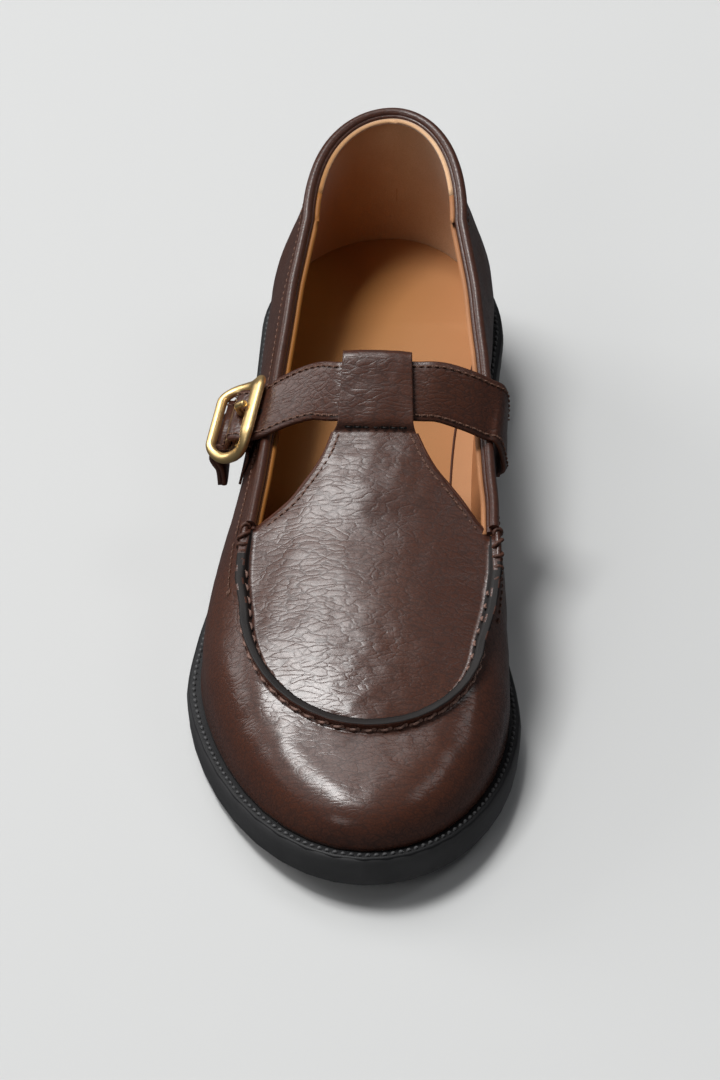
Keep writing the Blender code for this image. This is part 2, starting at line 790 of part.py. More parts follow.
def strap_route():
    """Middle line of the strap with the direction of its width, lateral tail to medial end."""
    centre, along, bar, out = buckle_frame()
    reach = BUCKLE_LENGTH / 2 - BUCKLE_WIRE_WIDTH / 2
    tab = world(TAB_CENTRE_X, STRAP_RUN, STRAP_HEIGHT)
    loop = TAB_HALF * 1.15
    turn = buckle_turn()
    lateral_x, lateral_run = top_line(Column(LATERAL, "rear", turn))
    lateral = world(lateral_x, lateral_run, top_height(lateral_run))
    under = centre + along * reach + out * strap_under()
    tail = under + Vector((-0.0022, 0.0, -0.0036))
    medial_turn = turn_at(STRAP_RUN - 0.0015)
    medial_x, medial_run = top_line(Column(MEDIAL, "rear", medial_turn))
    medial = world(medial_x, medial_run, top_height(medial_run))
    clear = GAP + STRAP_THICKNESS / 2
    rows = [
        (tail + Vector((0.0012, -0.0010, -0.0105)), tilt(6)),
        (tail + Vector((0.0008, -0.0006, -0.0050)), tilt(8)),
        (tail, bar),
        (under, bar),
        (centre + along * reach * 0.5 + out * strap_lift() * 0.34, bar),
        (centre + out * strap_lift(), bar),
        (centre - along * reach * 0.5 + out * strap_lift() * 0.34, bar),
        (centre - along * reach + out * strap_under(), bar),
        (lateral.lerp(tab, 0.20) + Vector((0.0, -0.0004, STRAP_ARCH * 0.55)), tilt(18)),
        (lateral.lerp(tab, 0.45) + Vector((0.0, -0.0002, STRAP_ARCH * 0.60)), tilt(27)),
        (tab + Vector((-loop, -0.0003, -0.0002 - tab_height(loop))), tilt(33)),
        (tab, tilt(33)),
        (tab + Vector((loop, 0.0003, -tab_height(loop))), tilt(34)),
        (tab.lerp(medial, 0.56) + UP * STRAP_ARCH * 0.89, tilt(40)),
        (tab.lerp(medial, 0.81) + UP * STRAP_ARCH * 0.99, tilt(42)),
        (medial + Vector((-0.0012, 0.0004, STRAP_ARCH * 0.99)), tilt(42)),
        (medial + Vector((0.0029, 0.0016, STRAP_ARCH * 0.60)), tilt(42))]
    for step, level in enumerate((0.88, 0.76, 0.64)):
        column = Column(MEDIAL, "rear", medial_turn - 0.028 - 0.024 * step)
        rows.append((wall_point(column, level) + outward(column) * (clear + MEDIAL_CLEAR[step]), tilt(45)))
    return rows


def strap_mesh():
    rows = strap_route()
    steps = 4
    path = smooth_path([point for point, hint in rows], steps)
    hints = [a[1].lerp(b[1], k / steps) for a, b in zip(rows, rows[1:]) for k in range(steps)]
    return ribbon("strap", path, hints + [rows[-1][1]], STRAP_WIDTH, STRAP_THICKNESS, STRAP_THICKNESS / 5)


def place_matrix(centre, x_axis, y_axis, z_axis):
    turned = Matrix((x_axis, y_axis, z_axis)).transposed().to_4x4()
    turned.translation = centre
    return turned


def buckle_curve(profile):
    """Rounded frame of the buckle: arcs at the corners, and the two long sides arched outwards."""
    data = bpy.data.curves.new("buckle_frame", "CURVE")
    data.dimensions = "3D"
    data.bevel_mode = "OBJECT"
    data.bevel_object = profile
    half_x = (BUCKLE_LENGTH - BUCKLE_WIRE_WIDTH) / 2
    half_y = (BUCKLE_WIDTH - BUCKLE_WIRE_WIDTH) / 2
    corner = BUCKLE_CORNER - BUCKLE_WIRE_WIDTH / 2
    places = []
    for sign_x, sign_y, start in ((1, 1, 0), (-1, 1, 90), (-1, -1, 180), (1, -1, 270)):
        for k in range(6):
            angle = math.radians(start + 90 * k / 5)
            places.append((sign_x * (half_x - corner) + corner * math.cos(angle),
                           sign_y * (half_y - corner) + corner * math.sin(angle)))
        middle = (0.0, sign_y * half_y) if sign_x * sign_y > 0 else (sign_x * half_x, 0.0)
        places.append(middle)
    spline = data.splines.new("POLY")
    spline.points.add(len(places) - 1)
    for point, (x, y) in zip(spline.points, places):
        point.co = (x, y, BUCKLE_ARCH * (x / half_x) ** 2, 1.0)
    spline.use_cyclic_u = True
    return data


def buckle_profile():
    """Domed section of the buckle's wire."""
    data = bpy.data.curves.new("buckle_section", "CURVE")
    data.dimensions = "2D"
    spline = data.splines.new("POLY")
    sides = 10
    spline.points.add(sides - 1)
    for k, point in enumerate(spline.points):
        angle = -math.tau * k / sides
        point.co = (BUCKLE_WIRE_WIDTH / 2 * math.cos(angle), BUCKLE_WIRE_THICKNESS / 2 * math.sin(angle),
                    0.0, 1.0)
    spline.use_cyclic_u = True
    return data


def prong_curve():
    """Pin that hooks round the bar, comes up through the strap and rests on the buckle's side."""
    centre, along, bar, out = buckle_frame()
    hook = BAR_RADIUS + GAP + PRONG_RADIUS
    top = BUCKLE_ARCH + BUCKLE_WIRE_THICKNESS / 2 + GAP + PRONG_RADIUS
    reach = BUCKLE_LENGTH / 2 - BUCKLE_WIRE_WIDTH / 2
    places = [(0.35 * hook, -0.98 * hook), (-0.55 * hook, -0.90 * hook), (-1.0 * hook, -0.20 * hook),
              (-1.02 * hook, 0.75 * hook), (-1.2 * hook, strap_lift()),
              (-1.9 * hook, max(top, strap_lift() + STRAP_THICKNESS / 2)), (-reach, top)]
    points = [centre + along * p + out * n for p, n in places]
    return tube("prong", smooth_path(points, 3), PRONG_RADIUS, 1)


def keeper_mesh():
    """Sheet of the leather keeper: down the quarter, round the buckle's bar and back, slot left open."""
    centre, along, bar, out = buckle_frame()
    radius = BAR_RADIUS + GAP + KEEPER_THICKNESS / 2
    column = Column(LATERAL, "rear", buckle_turn())
    clear = outward(column) * (GAP * 2 + KEEPER_THICKNESS / 2)
    wall = [wall_point(column, level) + clear for level in (0.50, 0.62, 0.74)]
    places = [(radius * 1.2, -radius * 3.2), (radius, -radius * 1.4)]
    places += [(radius * math.cos(turned), radius * math.sin(turned))
               for turned in (math.pi * k / 5 for k in range(6))]
    places += [(-radius, -radius * 1.4), (-radius, -radius * 2.7)]
    path = smooth_path(wall + [centre + along * p + out * n for p, n in places], KEEPER_STEPS)
    offsets = (-KEEPER_WIDTH / 2, -KEEPER_SLOT / 2, KEEPER_SLOT / 2, KEEPER_WIDTH / 2)
    points = [place + bar * offset for place in path for offset in offsets]
    first = len(wall) * KEEPER_STEPS
    faces = []
    for row in range(len(path) - 1):
        for k in range(len(offsets) - 1):
            if k == 1 and row >= first:
                continue
            low = row * len(offsets) + k
            faces.append((low, low + 1, low + len(offsets) + 1, low + len(offsets)))
    return mesh_from("buckle_keeper", points, faces)


def cut(item, cutter):
    step = item.modifiers.new("cut_" + cutter.name, "BOOLEAN")
    step.operation = "DIFFERENCE"
    step.object = cutter
    step.solver = "EXACT"


def add_cutter(name, group, matrix, size, round_hole):
    """Box or cylinder that is hidden and only cuts."""
    shape = bmesh.new()
    if round_hole:
        bmesh.ops.create_cone(shape, cap_ends=True, segments=12, radius1=size[0], radius2=size[0],
                              depth=size[2])
    else:
        bmesh.ops.create_cube(shape, size=1.0, matrix=Matrix.Diagonal((*size, 1.0)))
    data = bpy.data.meshes.new(name)
    shape.to_mesh(data)
    shape.free()
    item = add_object(name, data, group, None)
    item.matrix_world = matrix
    item.hide_render = True
    item.display_type = "WIRE"
    return item


def build():
    clear_scene()
    shoe = collection("mary_jane_shoe")
    tools = collection("cutters")
    leather = material("brown_leather", (0.130, 0.075, 0.058), 0.40)
    rubber = material("black_rubber", (0.030, 0.030, 0.032), 0.55)
    welt_black = material("black_welt", (0.022, 0.022, 0.023), 0.60)
    tan = material("tan_insole_leather", (0.520, 0.290, 0.160), 0.50)
    brass = material("antique_brass", (0.600, 0.420, 0.160), 0.32, 1.0)
    smooth_angle = math.radians(40)

    add_object("outsole", outsole_mesh(), shoe, rubber, smooth_angle)
    add_object("heel", heel_mesh(), shoe, rubber, smooth_angle)
    add_object("welt", welt_mesh(), shoe, welt_black, smooth_angle)
    add_object("insole", insole_mesh(), shoe, tan, smooth_angle)
    add_object("upper", upper_mesh(), shoe, leather, smooth_angle)
    add_object("binding", binding_curve(), shoe, leather)
    strap = add_object("strap", strap_mesh(), shoe, leather, smooth_angle)

    centre, along, bar, out = buckle_frame()
    placed = place_matrix(centre, along, out.cross(along), out)
    profile = add_object("buckle_section", buckle_profile(), tools, None)
    profile.hide_render = True
    profile.display_type = "WIRE"
    frame = add_object("buckle_frame", buckle_curve(profile), shoe, brass)
    frame.matrix_world = placed
    pin = bmesh.new()
    bmesh.ops.create_cone(pin, cap_ends=True, segments=12, radius1=BAR_RADIUS, radius2=BAR_RADIUS,
                          depth=BUCKLE_WIDTH - 2 * BUCKLE_WIRE_WIDTH - 2 * GAP)
    data = bpy.data.meshes.new("buckle_bar")
    pin.to_mesh(data)
    pin.free()
    item = add_object("buckle_bar", data, shoe, brass, smooth_angle)
    item.matrix_world = place_matrix(centre, out, along, bar)
    add_object("prong", prong_curve(), shoe, brass)
    keeper = add_object("buckle_keeper", keeper_mesh(), shoe, leather, smooth_angle)

    hook = BAR_RADIUS + GAP + PRONG_RADIUS
    hole_centre = centre - along * hook * 1.15 + out * strap_lift() * 0.8
    cut(strap, add_cutter("prong_hole", tools, place_matrix(hole_centre, along, out.cross(along), out),
                          (PRONG_HOLE_RADIUS, PRONG_HOLE_RADIUS, STRAP_THICKNESS * 4), True))
    sheet = keeper.modifiers.new("leather", "SOLIDIFY")
    sheet.thickness = KEEPER_THICKNESS
    sheet.offset = 0.0


build()
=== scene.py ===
"""Looks of a mary jane shoe, right foot: leather, linings, stitches, brass and the studio stage.

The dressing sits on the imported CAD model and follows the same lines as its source: a place along the
shoe is its distance from the back of the heel, called run, and +X is the medial side.
"""
from collections import namedtuple
import math
import random

import bmesh
import bpy
from bpy.props import FloatProperty, FloatVectorProperty, IntProperty, PointerProperty
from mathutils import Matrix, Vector, noise
from mathutils.bvhtree import BVHTree

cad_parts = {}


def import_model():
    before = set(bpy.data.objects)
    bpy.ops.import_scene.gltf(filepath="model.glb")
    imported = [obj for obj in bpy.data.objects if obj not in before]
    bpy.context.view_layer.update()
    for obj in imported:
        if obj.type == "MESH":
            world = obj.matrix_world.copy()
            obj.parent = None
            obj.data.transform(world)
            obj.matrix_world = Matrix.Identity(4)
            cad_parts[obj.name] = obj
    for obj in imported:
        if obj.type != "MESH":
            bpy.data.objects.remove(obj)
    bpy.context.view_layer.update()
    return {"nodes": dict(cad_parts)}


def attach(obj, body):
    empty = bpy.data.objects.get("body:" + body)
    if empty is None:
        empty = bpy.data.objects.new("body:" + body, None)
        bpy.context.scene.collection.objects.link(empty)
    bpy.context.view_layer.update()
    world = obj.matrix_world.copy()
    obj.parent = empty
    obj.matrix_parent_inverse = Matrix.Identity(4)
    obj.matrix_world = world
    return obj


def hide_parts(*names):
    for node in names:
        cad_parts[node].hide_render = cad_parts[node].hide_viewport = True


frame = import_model()
NODES = frame["nodes"]

bl_info = {
    "name": "Mary Jane Shoe",
    "version": (1, 0, 0),
    "blender": (4, 5, 0),
    "location": "3D View > Sidebar > Shoe",
    "description": "Dresses the mary jane shoe in leather, linings, stitches and brass, and sets its stage",
    "category": "Object",
}

# Sizes of the CAD model that the dressing follows, in metres
LENGTH = 0.264
BALL_LATERAL = 0.0508
BALL_MEDIAL = 0.0466
HEEL_LATERAL = 0.0350
HEEL_MEDIAL = 0.0384
HEEL_CENTRE_X = 0.0040
TOE_TIP_X = 0.0030
HEEL_PIVOT = 0.045
BALL_RUN_LATERAL = 0.187
BALL_RUN_MEDIAL = 0.198
HEEL_RISE = 0.0152
TOE_SPRING = 0.0072
OUTSOLE_THICKNESS = 0.0080
WELT_THICKNESS = 0.0032
INSOLE_THICKNESS = 0.0024
UPPER_WALL = 0.0016
TOPLINE_BACK_RUN = 0.0050
TOPLINE_BACK_HEIGHT = 0.0800
CORNER_RUN = 0.161
CORNER_HEIGHT = 0.0495
SEAM_TIP_RUN = 0.2285
SEAM_TIP_HEIGHT = 0.0345
RIDGE_HEIGHT = 0.0030
RIDGE_WIDTH = 0.0026
BINDING_RADIUS = 0.0018
LOW_REACH = 0.42
TOP_REACH = 0.42
TAB_CENTRE_X = 0.0023
TAB_HALF = 0.0102
TAB_CROWN = 0.0006
TAB_FLARE = 0.0012
STRAP_WIDTH = 0.0180
STRAP_THICKNESS = 0.0020
STRAP_RUN = 0.1218
STRAP_HEIGHT = 0.0713
STRAP_SLOPE = math.radians(33)
STITCH_REACH = 0.0038
BUCKLE_WIDTH = 0.0288
BUCKLE_LENGTH = 0.0198
BUCKLE_WIRE_WIDTH = 0.0047
BUCKLE_WIRE_THICKNESS = 0.0032
BUCKLE_ARCH = 0.0030
BUCKLE_CORNER = 0.0072
BAR_RADIUS = 0.0008
KEEPER_THICKNESS = 0.0008
BUCKLE_OUT = 0.0066
BUCKLE_BACK = 0.0058
STRAP_ARCH = 0.0100
MEDIAL_CLEAR = (0.0028, 0.0015, 0.0008)
BUCKLE_DROP = 0.0010
GAP = 0.0003
CENTRE_X = (BALL_LATERAL - BALL_MEDIAL) / 2
LATERAL, MEDIAL = -1, 1
SIDES = {LATERAL: "lateral", MEDIAL: "medial"}
UP = Vector((0.0, 0.0, 1.0))

# Half width of the sole's outline between the heel's pivot and the ball, as a share of the way from the
# heel's half width (0) to the ball's (1)
Outline = namedtuple("Outline", "share blend")
OUTLINE_LATERAL = [Outline(*row) for row in (
    (0.170, 0.00), (0.239, 0.044), (0.379, 0.19), (0.4545, 0.335), (0.530, 0.541),
    (0.580, 0.709), (0.629, 0.867), (0.708, 1.00), (0.80, 1.00))]
OUTLINE_MEDIAL = [Outline(*row) for row in (
    (0.170, 0.00), (0.239, -0.183), (0.341, -0.602), (0.424, -0.683), (0.511, -0.459),
    (0.587, 0.012), (0.655, 0.516), (0.708, 0.854), (0.750, 1.00), (0.80, 1.00))]

# Rise of the sole's top: shares of the heel rise along the shoe
Lift = namedtuple("Lift", "share lift")
RISE_ROWS = [Lift(*row) for row in (
    (0.0, 1.00), (0.10, 1.00), (0.19, 0.97), (0.34, 0.64), (0.49, 0.21), (0.60, 0.0), (1.0, 0.0))]
SPRING_START = 0.70

# Top line of the wall (topline behind, seam in front): inset from the outline, as a share of the ball
TopInset = namedtuple("TopInset", "share inset")
TOP_LATERAL = [TopInset(*row) for row in (
    (0.170, 0.252), (0.216, 0.220), (0.260, 0.195), (0.305, 0.185), (0.380, 0.175), (0.4545, 0.183),
    (0.545, 0.217), (0.610, 0.248), (0.665, 0.274), (0.708, 0.319))]
TOP_MEDIAL = [TopInset(*row) for row in (
    (0.170, 0.2515), (0.212, 0.185), (0.280, 0.075), (0.350, -0.017), (0.424, -0.058), (0.504, -0.049),
    (0.553, -0.032), (0.600, 0.011), (0.625, 0.032), (0.683, 0.122), (0.750, 0.242))]

# Height of the topline as a share of the way from the corner's height to the heel's, and of the seam as
# a share of the way from its tip's height to the corner's
TOPLINE_HEIGHTS = [Lift(*row) for row in (
    (0.0, 1.00), (0.076, 0.90), (0.150, 0.72), (0.227, 0.51), (0.303, 0.33), (0.379, 0.197),
    (0.4545, 0.115), (0.530, 0.05), (0.610, 0.0))]
SEAM_HEIGHTS = [Lift(*row) for row in (
    (0.610, 1.00), (0.682, 0.63), (0.757, 0.37), (0.814, 0.17), (0.871, 0.0))]

# The wall's lean in degrees above the horizontal at its foot and at its top, and its ledge on the welt
Wall = namedtuple("Wall", "share foot_lateral top_lateral ledge_lateral foot_medial top_medial ledge_medial")
WALL_ROWS = [Wall(*row) for row in (
    (0.00, 82, 84, 0.0034, 82, 84, 0.0034),
    (0.08, 82, 80, 0.0030, 76, 80, 0.0034),
    (0.17, 84, 74, 0.0024, 76, 80, 0.0032),
    (0.30, 86, 68, 0.0022, 74, 82, 0.0024),
    (0.42, 87, 68, 0.0024, 66, 88, 0.0020),
    (0.55, 86, 60, 0.0028, 70, 82, 0.0023),
    (0.68, 86, 46, 0.0037, 82, 66, 0.0028),
    (0.78, 88, 30, 0.0037, 86, 42, 0.0030),
    (0.88, 87, 18, 0.0033, 87, 22, 0.0030),
    (1.00, 86, 12, 0.0030, 86, 12, 0.0030))]

# Throat edge from the corner (0) to the stitch line (1): how far each side still flares from the tab's
# edge (0) to the corner (1)
Throat = namedtuple("Throat", "share flare_lateral flare_medial lift")
THROAT_ROWS = [Throat(*row) for row in (
    (0.00, 1.00, 1.00, 0.00), (0.15, 0.755, 0.82, 0.17), (0.31, 0.52, 0.65, 0.37),
    (0.47, 0.37, 0.47, 0.54), (0.62, 0.24, 0.30, 0.68), (0.80, 0.120, 0.15, 0.85),
    (1.00, 0.04, 0.03, 1.00))]


def read(rows, column, share):
    """Monotone cubic through one column of a table at a share of the table's first column."""
    xs = [row.share for row in rows]
    ys = [getattr(row, column) for row in rows]
    if share <= xs[0]:
        return ys[0]
    if share >= xs[-1]:
        return ys[-1]
    steps = [b - a for a, b in zip(xs, xs[1:])]
    slopes = [(b - a) / step for a, b, step in zip(ys, ys[1:], steps)]
    tangents = [slopes[0]]
    for i in range(1, len(slopes)):
        if slopes[i - 1] * slopes[i] > 0:
            before = 2 * steps[i] + steps[i - 1]
            after = steps[i] + 2 * steps[i - 1]
            tangents.append((before + after) / (before / slopes[i - 1] + after / slopes[i]))
        else:
            tangents.append(0.0)
    tangents.append(slopes[-1])
    i = max(k for k in range(len(steps)) if xs[k] <= share)
    t = (share - xs[i]) / steps[i]
    return (ys[i] * (2 * t ** 3 - 3 * t ** 2 + 1) + tangents[i] * steps[i] * (t ** 3 - 2 * t ** 2 + t)
            + ys[i + 1] * (3 * t ** 2 - 2 * t ** 3) + tangents[i + 1] * steps[i] * (t ** 3 - t ** 2))


def blend(a, b, t):
    return a + (b - a) * t


def world(x, run, z):
    """World point of a place given by its distance from the centre line and from the heel's back."""
    return Vector((x + CENTRE_X, LENGTH / 2 - run, z))


def run_of(point):
    """Distance of a world point from the heel's back."""
    return LENGTH / 2 - point.y


# A column is one place round the shoe's outline: its side, its zone and how far through that zone it lies
Column = namedtuple("Column", "side zone turn")


def ball_run(side):
    return BALL_RUN_MEDIAL if side == MEDIAL else BALL_RUN_LATERAL


def outline_half(side, run):
    rows, heel, ball = ((OUTLINE_MEDIAL, HEEL_MEDIAL, BALL_MEDIAL) if side == MEDIAL
                        else (OUTLINE_LATERAL, HEEL_LATERAL, BALL_LATERAL))
    return blend(heel, ball, read(rows, "blend", run / LENGTH))


def rail(column, inset, back_run, tip_run, power=1.0):
    """Plan position (x, run) of a column on a line that lies an inset inside the outline."""
    side = column.side
    if column.zone == "heel":
        angle = (1 - column.turn) * math.pi / 2
        half = side * (outline_half(side, HEEL_PIVOT) - inset(side, HEEL_PIVOT))
        return (blend(HEEL_CENTRE_X, half, math.cos(angle)),
                HEEL_PIVOT - (HEEL_PIVOT - back_run) * math.sin(angle))
    if column.zone == "toe":
        angle = column.turn * math.pi / 2
        start = ball_run(side)
        half = side * (outline_half(side, start) - inset(side, start))
        return (blend(TOE_TIP_X, half, math.cos(angle)),
                start + (tip_run - start) * math.sin(angle) ** power)
    if column.zone == "rear":
        run = blend(HEEL_PIVOT, CORNER_RUN, column.turn)
    else:
        run = blend(CORNER_RUN, ball_run(side), column.turn)
    return side * (outline_half(side, run) - inset(side, run)), run


def toe_power(side):
    """The lateral side of the toe runs in straighter than an ellipse."""
    return 1.0 if side == MEDIAL else 4 / 3


def sole_line(column, inset=0.0):
    return rail(column, lambda side, run: inset, inset, LENGTH - inset, toe_power(column.side))


def ledge(side, run):
    return read(WALL_ROWS, "ledge_" + SIDES[side], run / LENGTH)


def feather_line(column, inset=0.0):
    """Foot of the upper on the welt, or a line inside it."""
    return rail(column, lambda side, run: ledge(side, run) + inset, ledge(MEDIAL, 0.0) + inset,
                LENGTH - ledge(MEDIAL, LENGTH) - inset, toe_power(column.side))


def top_inset(side, run):
    rows, ball = (TOP_MEDIAL, BALL_MEDIAL) if side == MEDIAL else (TOP_LATERAL, BALL_LATERAL)
    return read(rows, "inset", run / LENGTH) * ball


def top_line(column):
    """Topline behind the corners, outer foot of the raised seam in front of them."""
    return rail(column, top_inset, TOPLINE_BACK_RUN, SEAM_TIP_RUN)


def top_height(run):
    share = run / LENGTH
    if run <= CORNER_RUN:
        return blend(CORNER_HEIGHT, TOPLINE_BACK_HEIGHT, read(TOPLINE_HEIGHTS, "lift", share))
    return blend(SEAM_TIP_HEIGHT, CORNER_HEIGHT, read(SEAM_HEIGHTS, "lift", share))


def outward(column):
    """Horizontal unit vector that points out of the shoe at a column."""
    x, run = sole_line(column)
    if column.zone == "heel":
        return (world(x, run, 0) - world(HEEL_CENTRE_X, HEEL_PIVOT, 0)).normalized()
    if column.zone == "toe":
        return (world(x, run, 0) - world(TOE_TIP_X, ball_run(column.side), 0)).normalized()
    return Vector((column.side, 0.0, 0.0))


def outsole_bottom(run):
    share = run / LENGTH
    spring = max(0.0, (share - SPRING_START) / (1 - SPRING_START)) ** 2 * TOE_SPRING
    return HEEL_RISE * read(RISE_ROWS, "lift", share) + spring


def outsole_top(run):
    return outsole_bottom(run) + OUTSOLE_THICKNESS


def welt_top(run):
    return outsole_top(run) + GAP + WELT_THICKNESS


def feather_height(run):
    return welt_top(run) + GAP


def wall_curve(column):
    """Control points of the wall from the feather line to the top line."""
    x, run = feather_line(column)
    foot = world(x, run, feather_height(run))
    top_x, top_run = top_line(column)
    top = world(top_x, top_run, top_height(top_run))
    name = SIDES[column.side]
    share = sole_line(column)[1] / LENGTH
    foot_lean = math.radians(read(WALL_ROWS, "foot_" + name, share))
    top_lean = math.radians(read(WALL_ROWS, "top_" + name, share))
    out = outward(column)
    reach = (top - foot).length
    low = foot + (out * math.cos(foot_lean) + UP * math.sin(foot_lean)) * reach * LOW_REACH
    high = top + (out * math.cos(top_lean) - UP * math.sin(top_lean)) * reach * TOP_REACH
    return foot, low, high, top


def wall_point(column, t):
    a, b, c, d = wall_curve(column)
    return a * (1 - t) ** 3 + b * 3 * t * (1 - t) ** 2 + c * 3 * t * t * (1 - t) + d * t ** 3


def top_direction(column):
    """Unit vector that leaves the wall's top edge along the wall, upwards and inwards."""
    high, top = wall_curve(column)[2:]
    return (top - high).normalized()


def top_normal(column):
    """Unit vector that points out of the wall at its top edge."""
    along = top_direction(column)
    out = outward(column)
    return (out * along.z - UP * along.dot(out)).normalized()


def ridge_share(column):
    """The raised seam starts low at the opening's corners and is full one step further on."""
    if column.zone == "rear":
        return 0.35
    if column.zone == "front" and column.turn < 0.5:
        return 0.8
    return 1.0


def ridge_points(column):
    """Outer top, inner top and inner foot of the raised seam over the wall's top edge."""
    foot = wall_point(column, 1.0)
    rise = (top_normal(column) + UP).normalized() * RIDGE_HEIGHT * ridge_share(column)
    across = -outward(column) * RIDGE_WIDTH
    return foot + rise, foot + rise + across, foot + across + UP * RIDGE_WIDTH * 0.15


def strap_frame():
    """Middle of the strap on the instep with its directions up the slope and out of it."""
    centre = world(TAB_CENTRE_X, STRAP_RUN, STRAP_HEIGHT)
    along = Vector((0.0, math.cos(STRAP_SLOPE), math.sin(STRAP_SLOPE)))
    out = Vector((0.0, -math.sin(STRAP_SLOPE), math.cos(STRAP_SLOPE)))
    return centre, along, out


def stitch_line_point():
    """Where the T-bar's outer face meets the stitch line in front of the strap."""
    centre, along, out = strap_frame()
    return centre - along * (STRAP_WIDTH / 2 + STITCH_REACH) + out * STRAP_THICKNESS / 2


def smooth_path(points, steps):
    """Catmull-Rom curve through points, with the given number of steps between each two."""
    ends = [points[0] * 2 - points[1]] + list(points) + [points[-1] * 2 - points[-2]]
    path = []
    for i in range(1, len(ends) - 2):
        a, b, c, d = ends[i - 1:i + 3]
        for k in range(steps):
            t = k / steps
            path.append((b * 2 + (c - a) * t + (a * 2 - b * 5 + c * 4 - d) * t * t
                         + (b * 3 - a - c * 3 + d) * t ** 3) / 2)
    path.append(points[-1])
    return path


def buckle_frame():
    """Middle of the buckle's bar, with its directions down the strap, along the bar and outwards."""
    x, run = top_line(Column(LATERAL, "rear", buckle_turn()))
    centre = world(x - BUCKLE_OUT, run, top_height(run) - BUCKLE_DROP)
    along = Vector((-0.650, 0.300, -0.700)).normalized()
    bar = Vector((-0.04, -0.985, -0.09))
    bar = (bar - along * bar.dot(along)).normalized()
    return centre, along, bar, along.cross(bar).normalized()


def turn_at(run):
    """How far a place lies through the rear zone of the sides."""
    return (run - HEEL_PIVOT) / (CORNER_RUN - HEEL_PIVOT)


def buckle_turn():
    """The buckle lies a little behind the strap's place on the instep."""
    return turn_at(STRAP_RUN - BUCKLE_BACK)


def tilt(degrees):
    """Direction across the strap, towards the toe and down by an angle."""
    angle = math.radians(degrees)
    return Vector((0.0, -math.cos(angle), -math.sin(angle)))


def strap_lift():
    """Height of the strap's middle over the buckle's bar: bar, keeper and half the strap."""
    return BAR_RADIUS + KEEPER_THICKNESS + 2 * GAP + STRAP_THICKNESS / 2


def strap_under():
    """Depth of the strap's middle under the buckle's two long sides, from the bar's middle."""
    lowest = BUCKLE_ARCH * 0.8
    return lowest - BUCKLE_WIRE_THICKNESS / 2 - GAP - STRAP_THICKNESS / 2


def tab_height(offset):
    """Height lost by the strap's middle at a distance from the tab's middle."""
    return TAB_CROWN * (offset / TAB_HALF) ** 2


def strap_route():
    """Middle line of the strap with the direction of its width, lateral tail to medial end."""
    centre, along, bar, out = buckle_frame()
    reach = BUCKLE_LENGTH / 2 - BUCKLE_WIRE_WIDTH / 2
    tab = world(TAB_CENTRE_X, STRAP_RUN, STRAP_HEIGHT)
    loop = TAB_HALF * 1.15
    turn = buckle_turn()
    lateral_x, lateral_run = top_line(Column(LATERAL, "rear", turn))
    lateral = world(lateral_x, lateral_run, top_height(lateral_run))
    under = centre + along * reach + out * strap_under()
    tail = under + Vector((-0.0022, 0.0, -0.0036))
    medial_turn = turn_at(STRAP_RUN - 0.0015)
    medial_x, medial_run = top_line(Column(MEDIAL, "rear", medial_turn))
    medial = world(medial_x, medial_run, top_height(medial_run))
    clear = GAP + STRAP_THICKNESS / 2
    rows = [
        (tail + Vector((0.0012, -0.0010, -0.0105)), tilt(6)),
        (tail + Vector((0.0008, -0.0006, -0.0050)), tilt(8)),
        (tail, bar),
        (under, bar),
        (centre + along * reach * 0.5 + out * strap_lift() * 0.34, bar),
        (centre + out * strap_lift(), bar),
        (centre - along * reach * 0.5 + out * strap_lift() * 0.34, bar),
        (centre - along * reach + out * strap_under(), bar),
        (lateral.lerp(tab, 0.20) + Vector((0.0, -0.0004, STRAP_ARCH * 0.55)), tilt(18)),
        (lateral.lerp(tab, 0.45) + Vector((0.0, -0.0002, STRAP_ARCH * 0.60)), tilt(27)),
        (tab + Vector((-loop, -0.0003, -0.0002 - tab_height(loop))), tilt(33)),
        (tab, tilt(33)),
        (tab + Vector((loop, 0.0003, -tab_height(loop))), tilt(34)),
        (tab.lerp(medial, 0.56) + UP * STRAP_ARCH * 0.89, tilt(40)),
        (tab.lerp(medial, 0.81) + UP * STRAP_ARCH * 0.99, tilt(42)),
        (medial + Vector((-0.0012, 0.0004, STRAP_ARCH * 0.99)), tilt(42)),
        (medial + Vector((0.0029, 0.0016, STRAP_ARCH * 0.60)), tilt(42))]
    for step, level in enumerate((0.88, 0.76, 0.64)):
        column = Column(MEDIAL, "rear", medial_turn - 0.028 - 0.024 * step)
        rows.append((wall_point(column, level) + outward(column) * (clear + MEDIAL_CLEAR[step]), tilt(45)))
    return rows


# Sizes and colours that a user would change
def colour(name, description, value):
    return FloatVectorProperty(name=name, description=description, subtype="COLOR", size=3, min=0.0, max=1.0,
                               default=value)


def length(name, description, value):
    return FloatProperty(name=name, description=description, subtype="DISTANCE", unit="LENGTH", min=0.0,
                         precision=5, default=value)


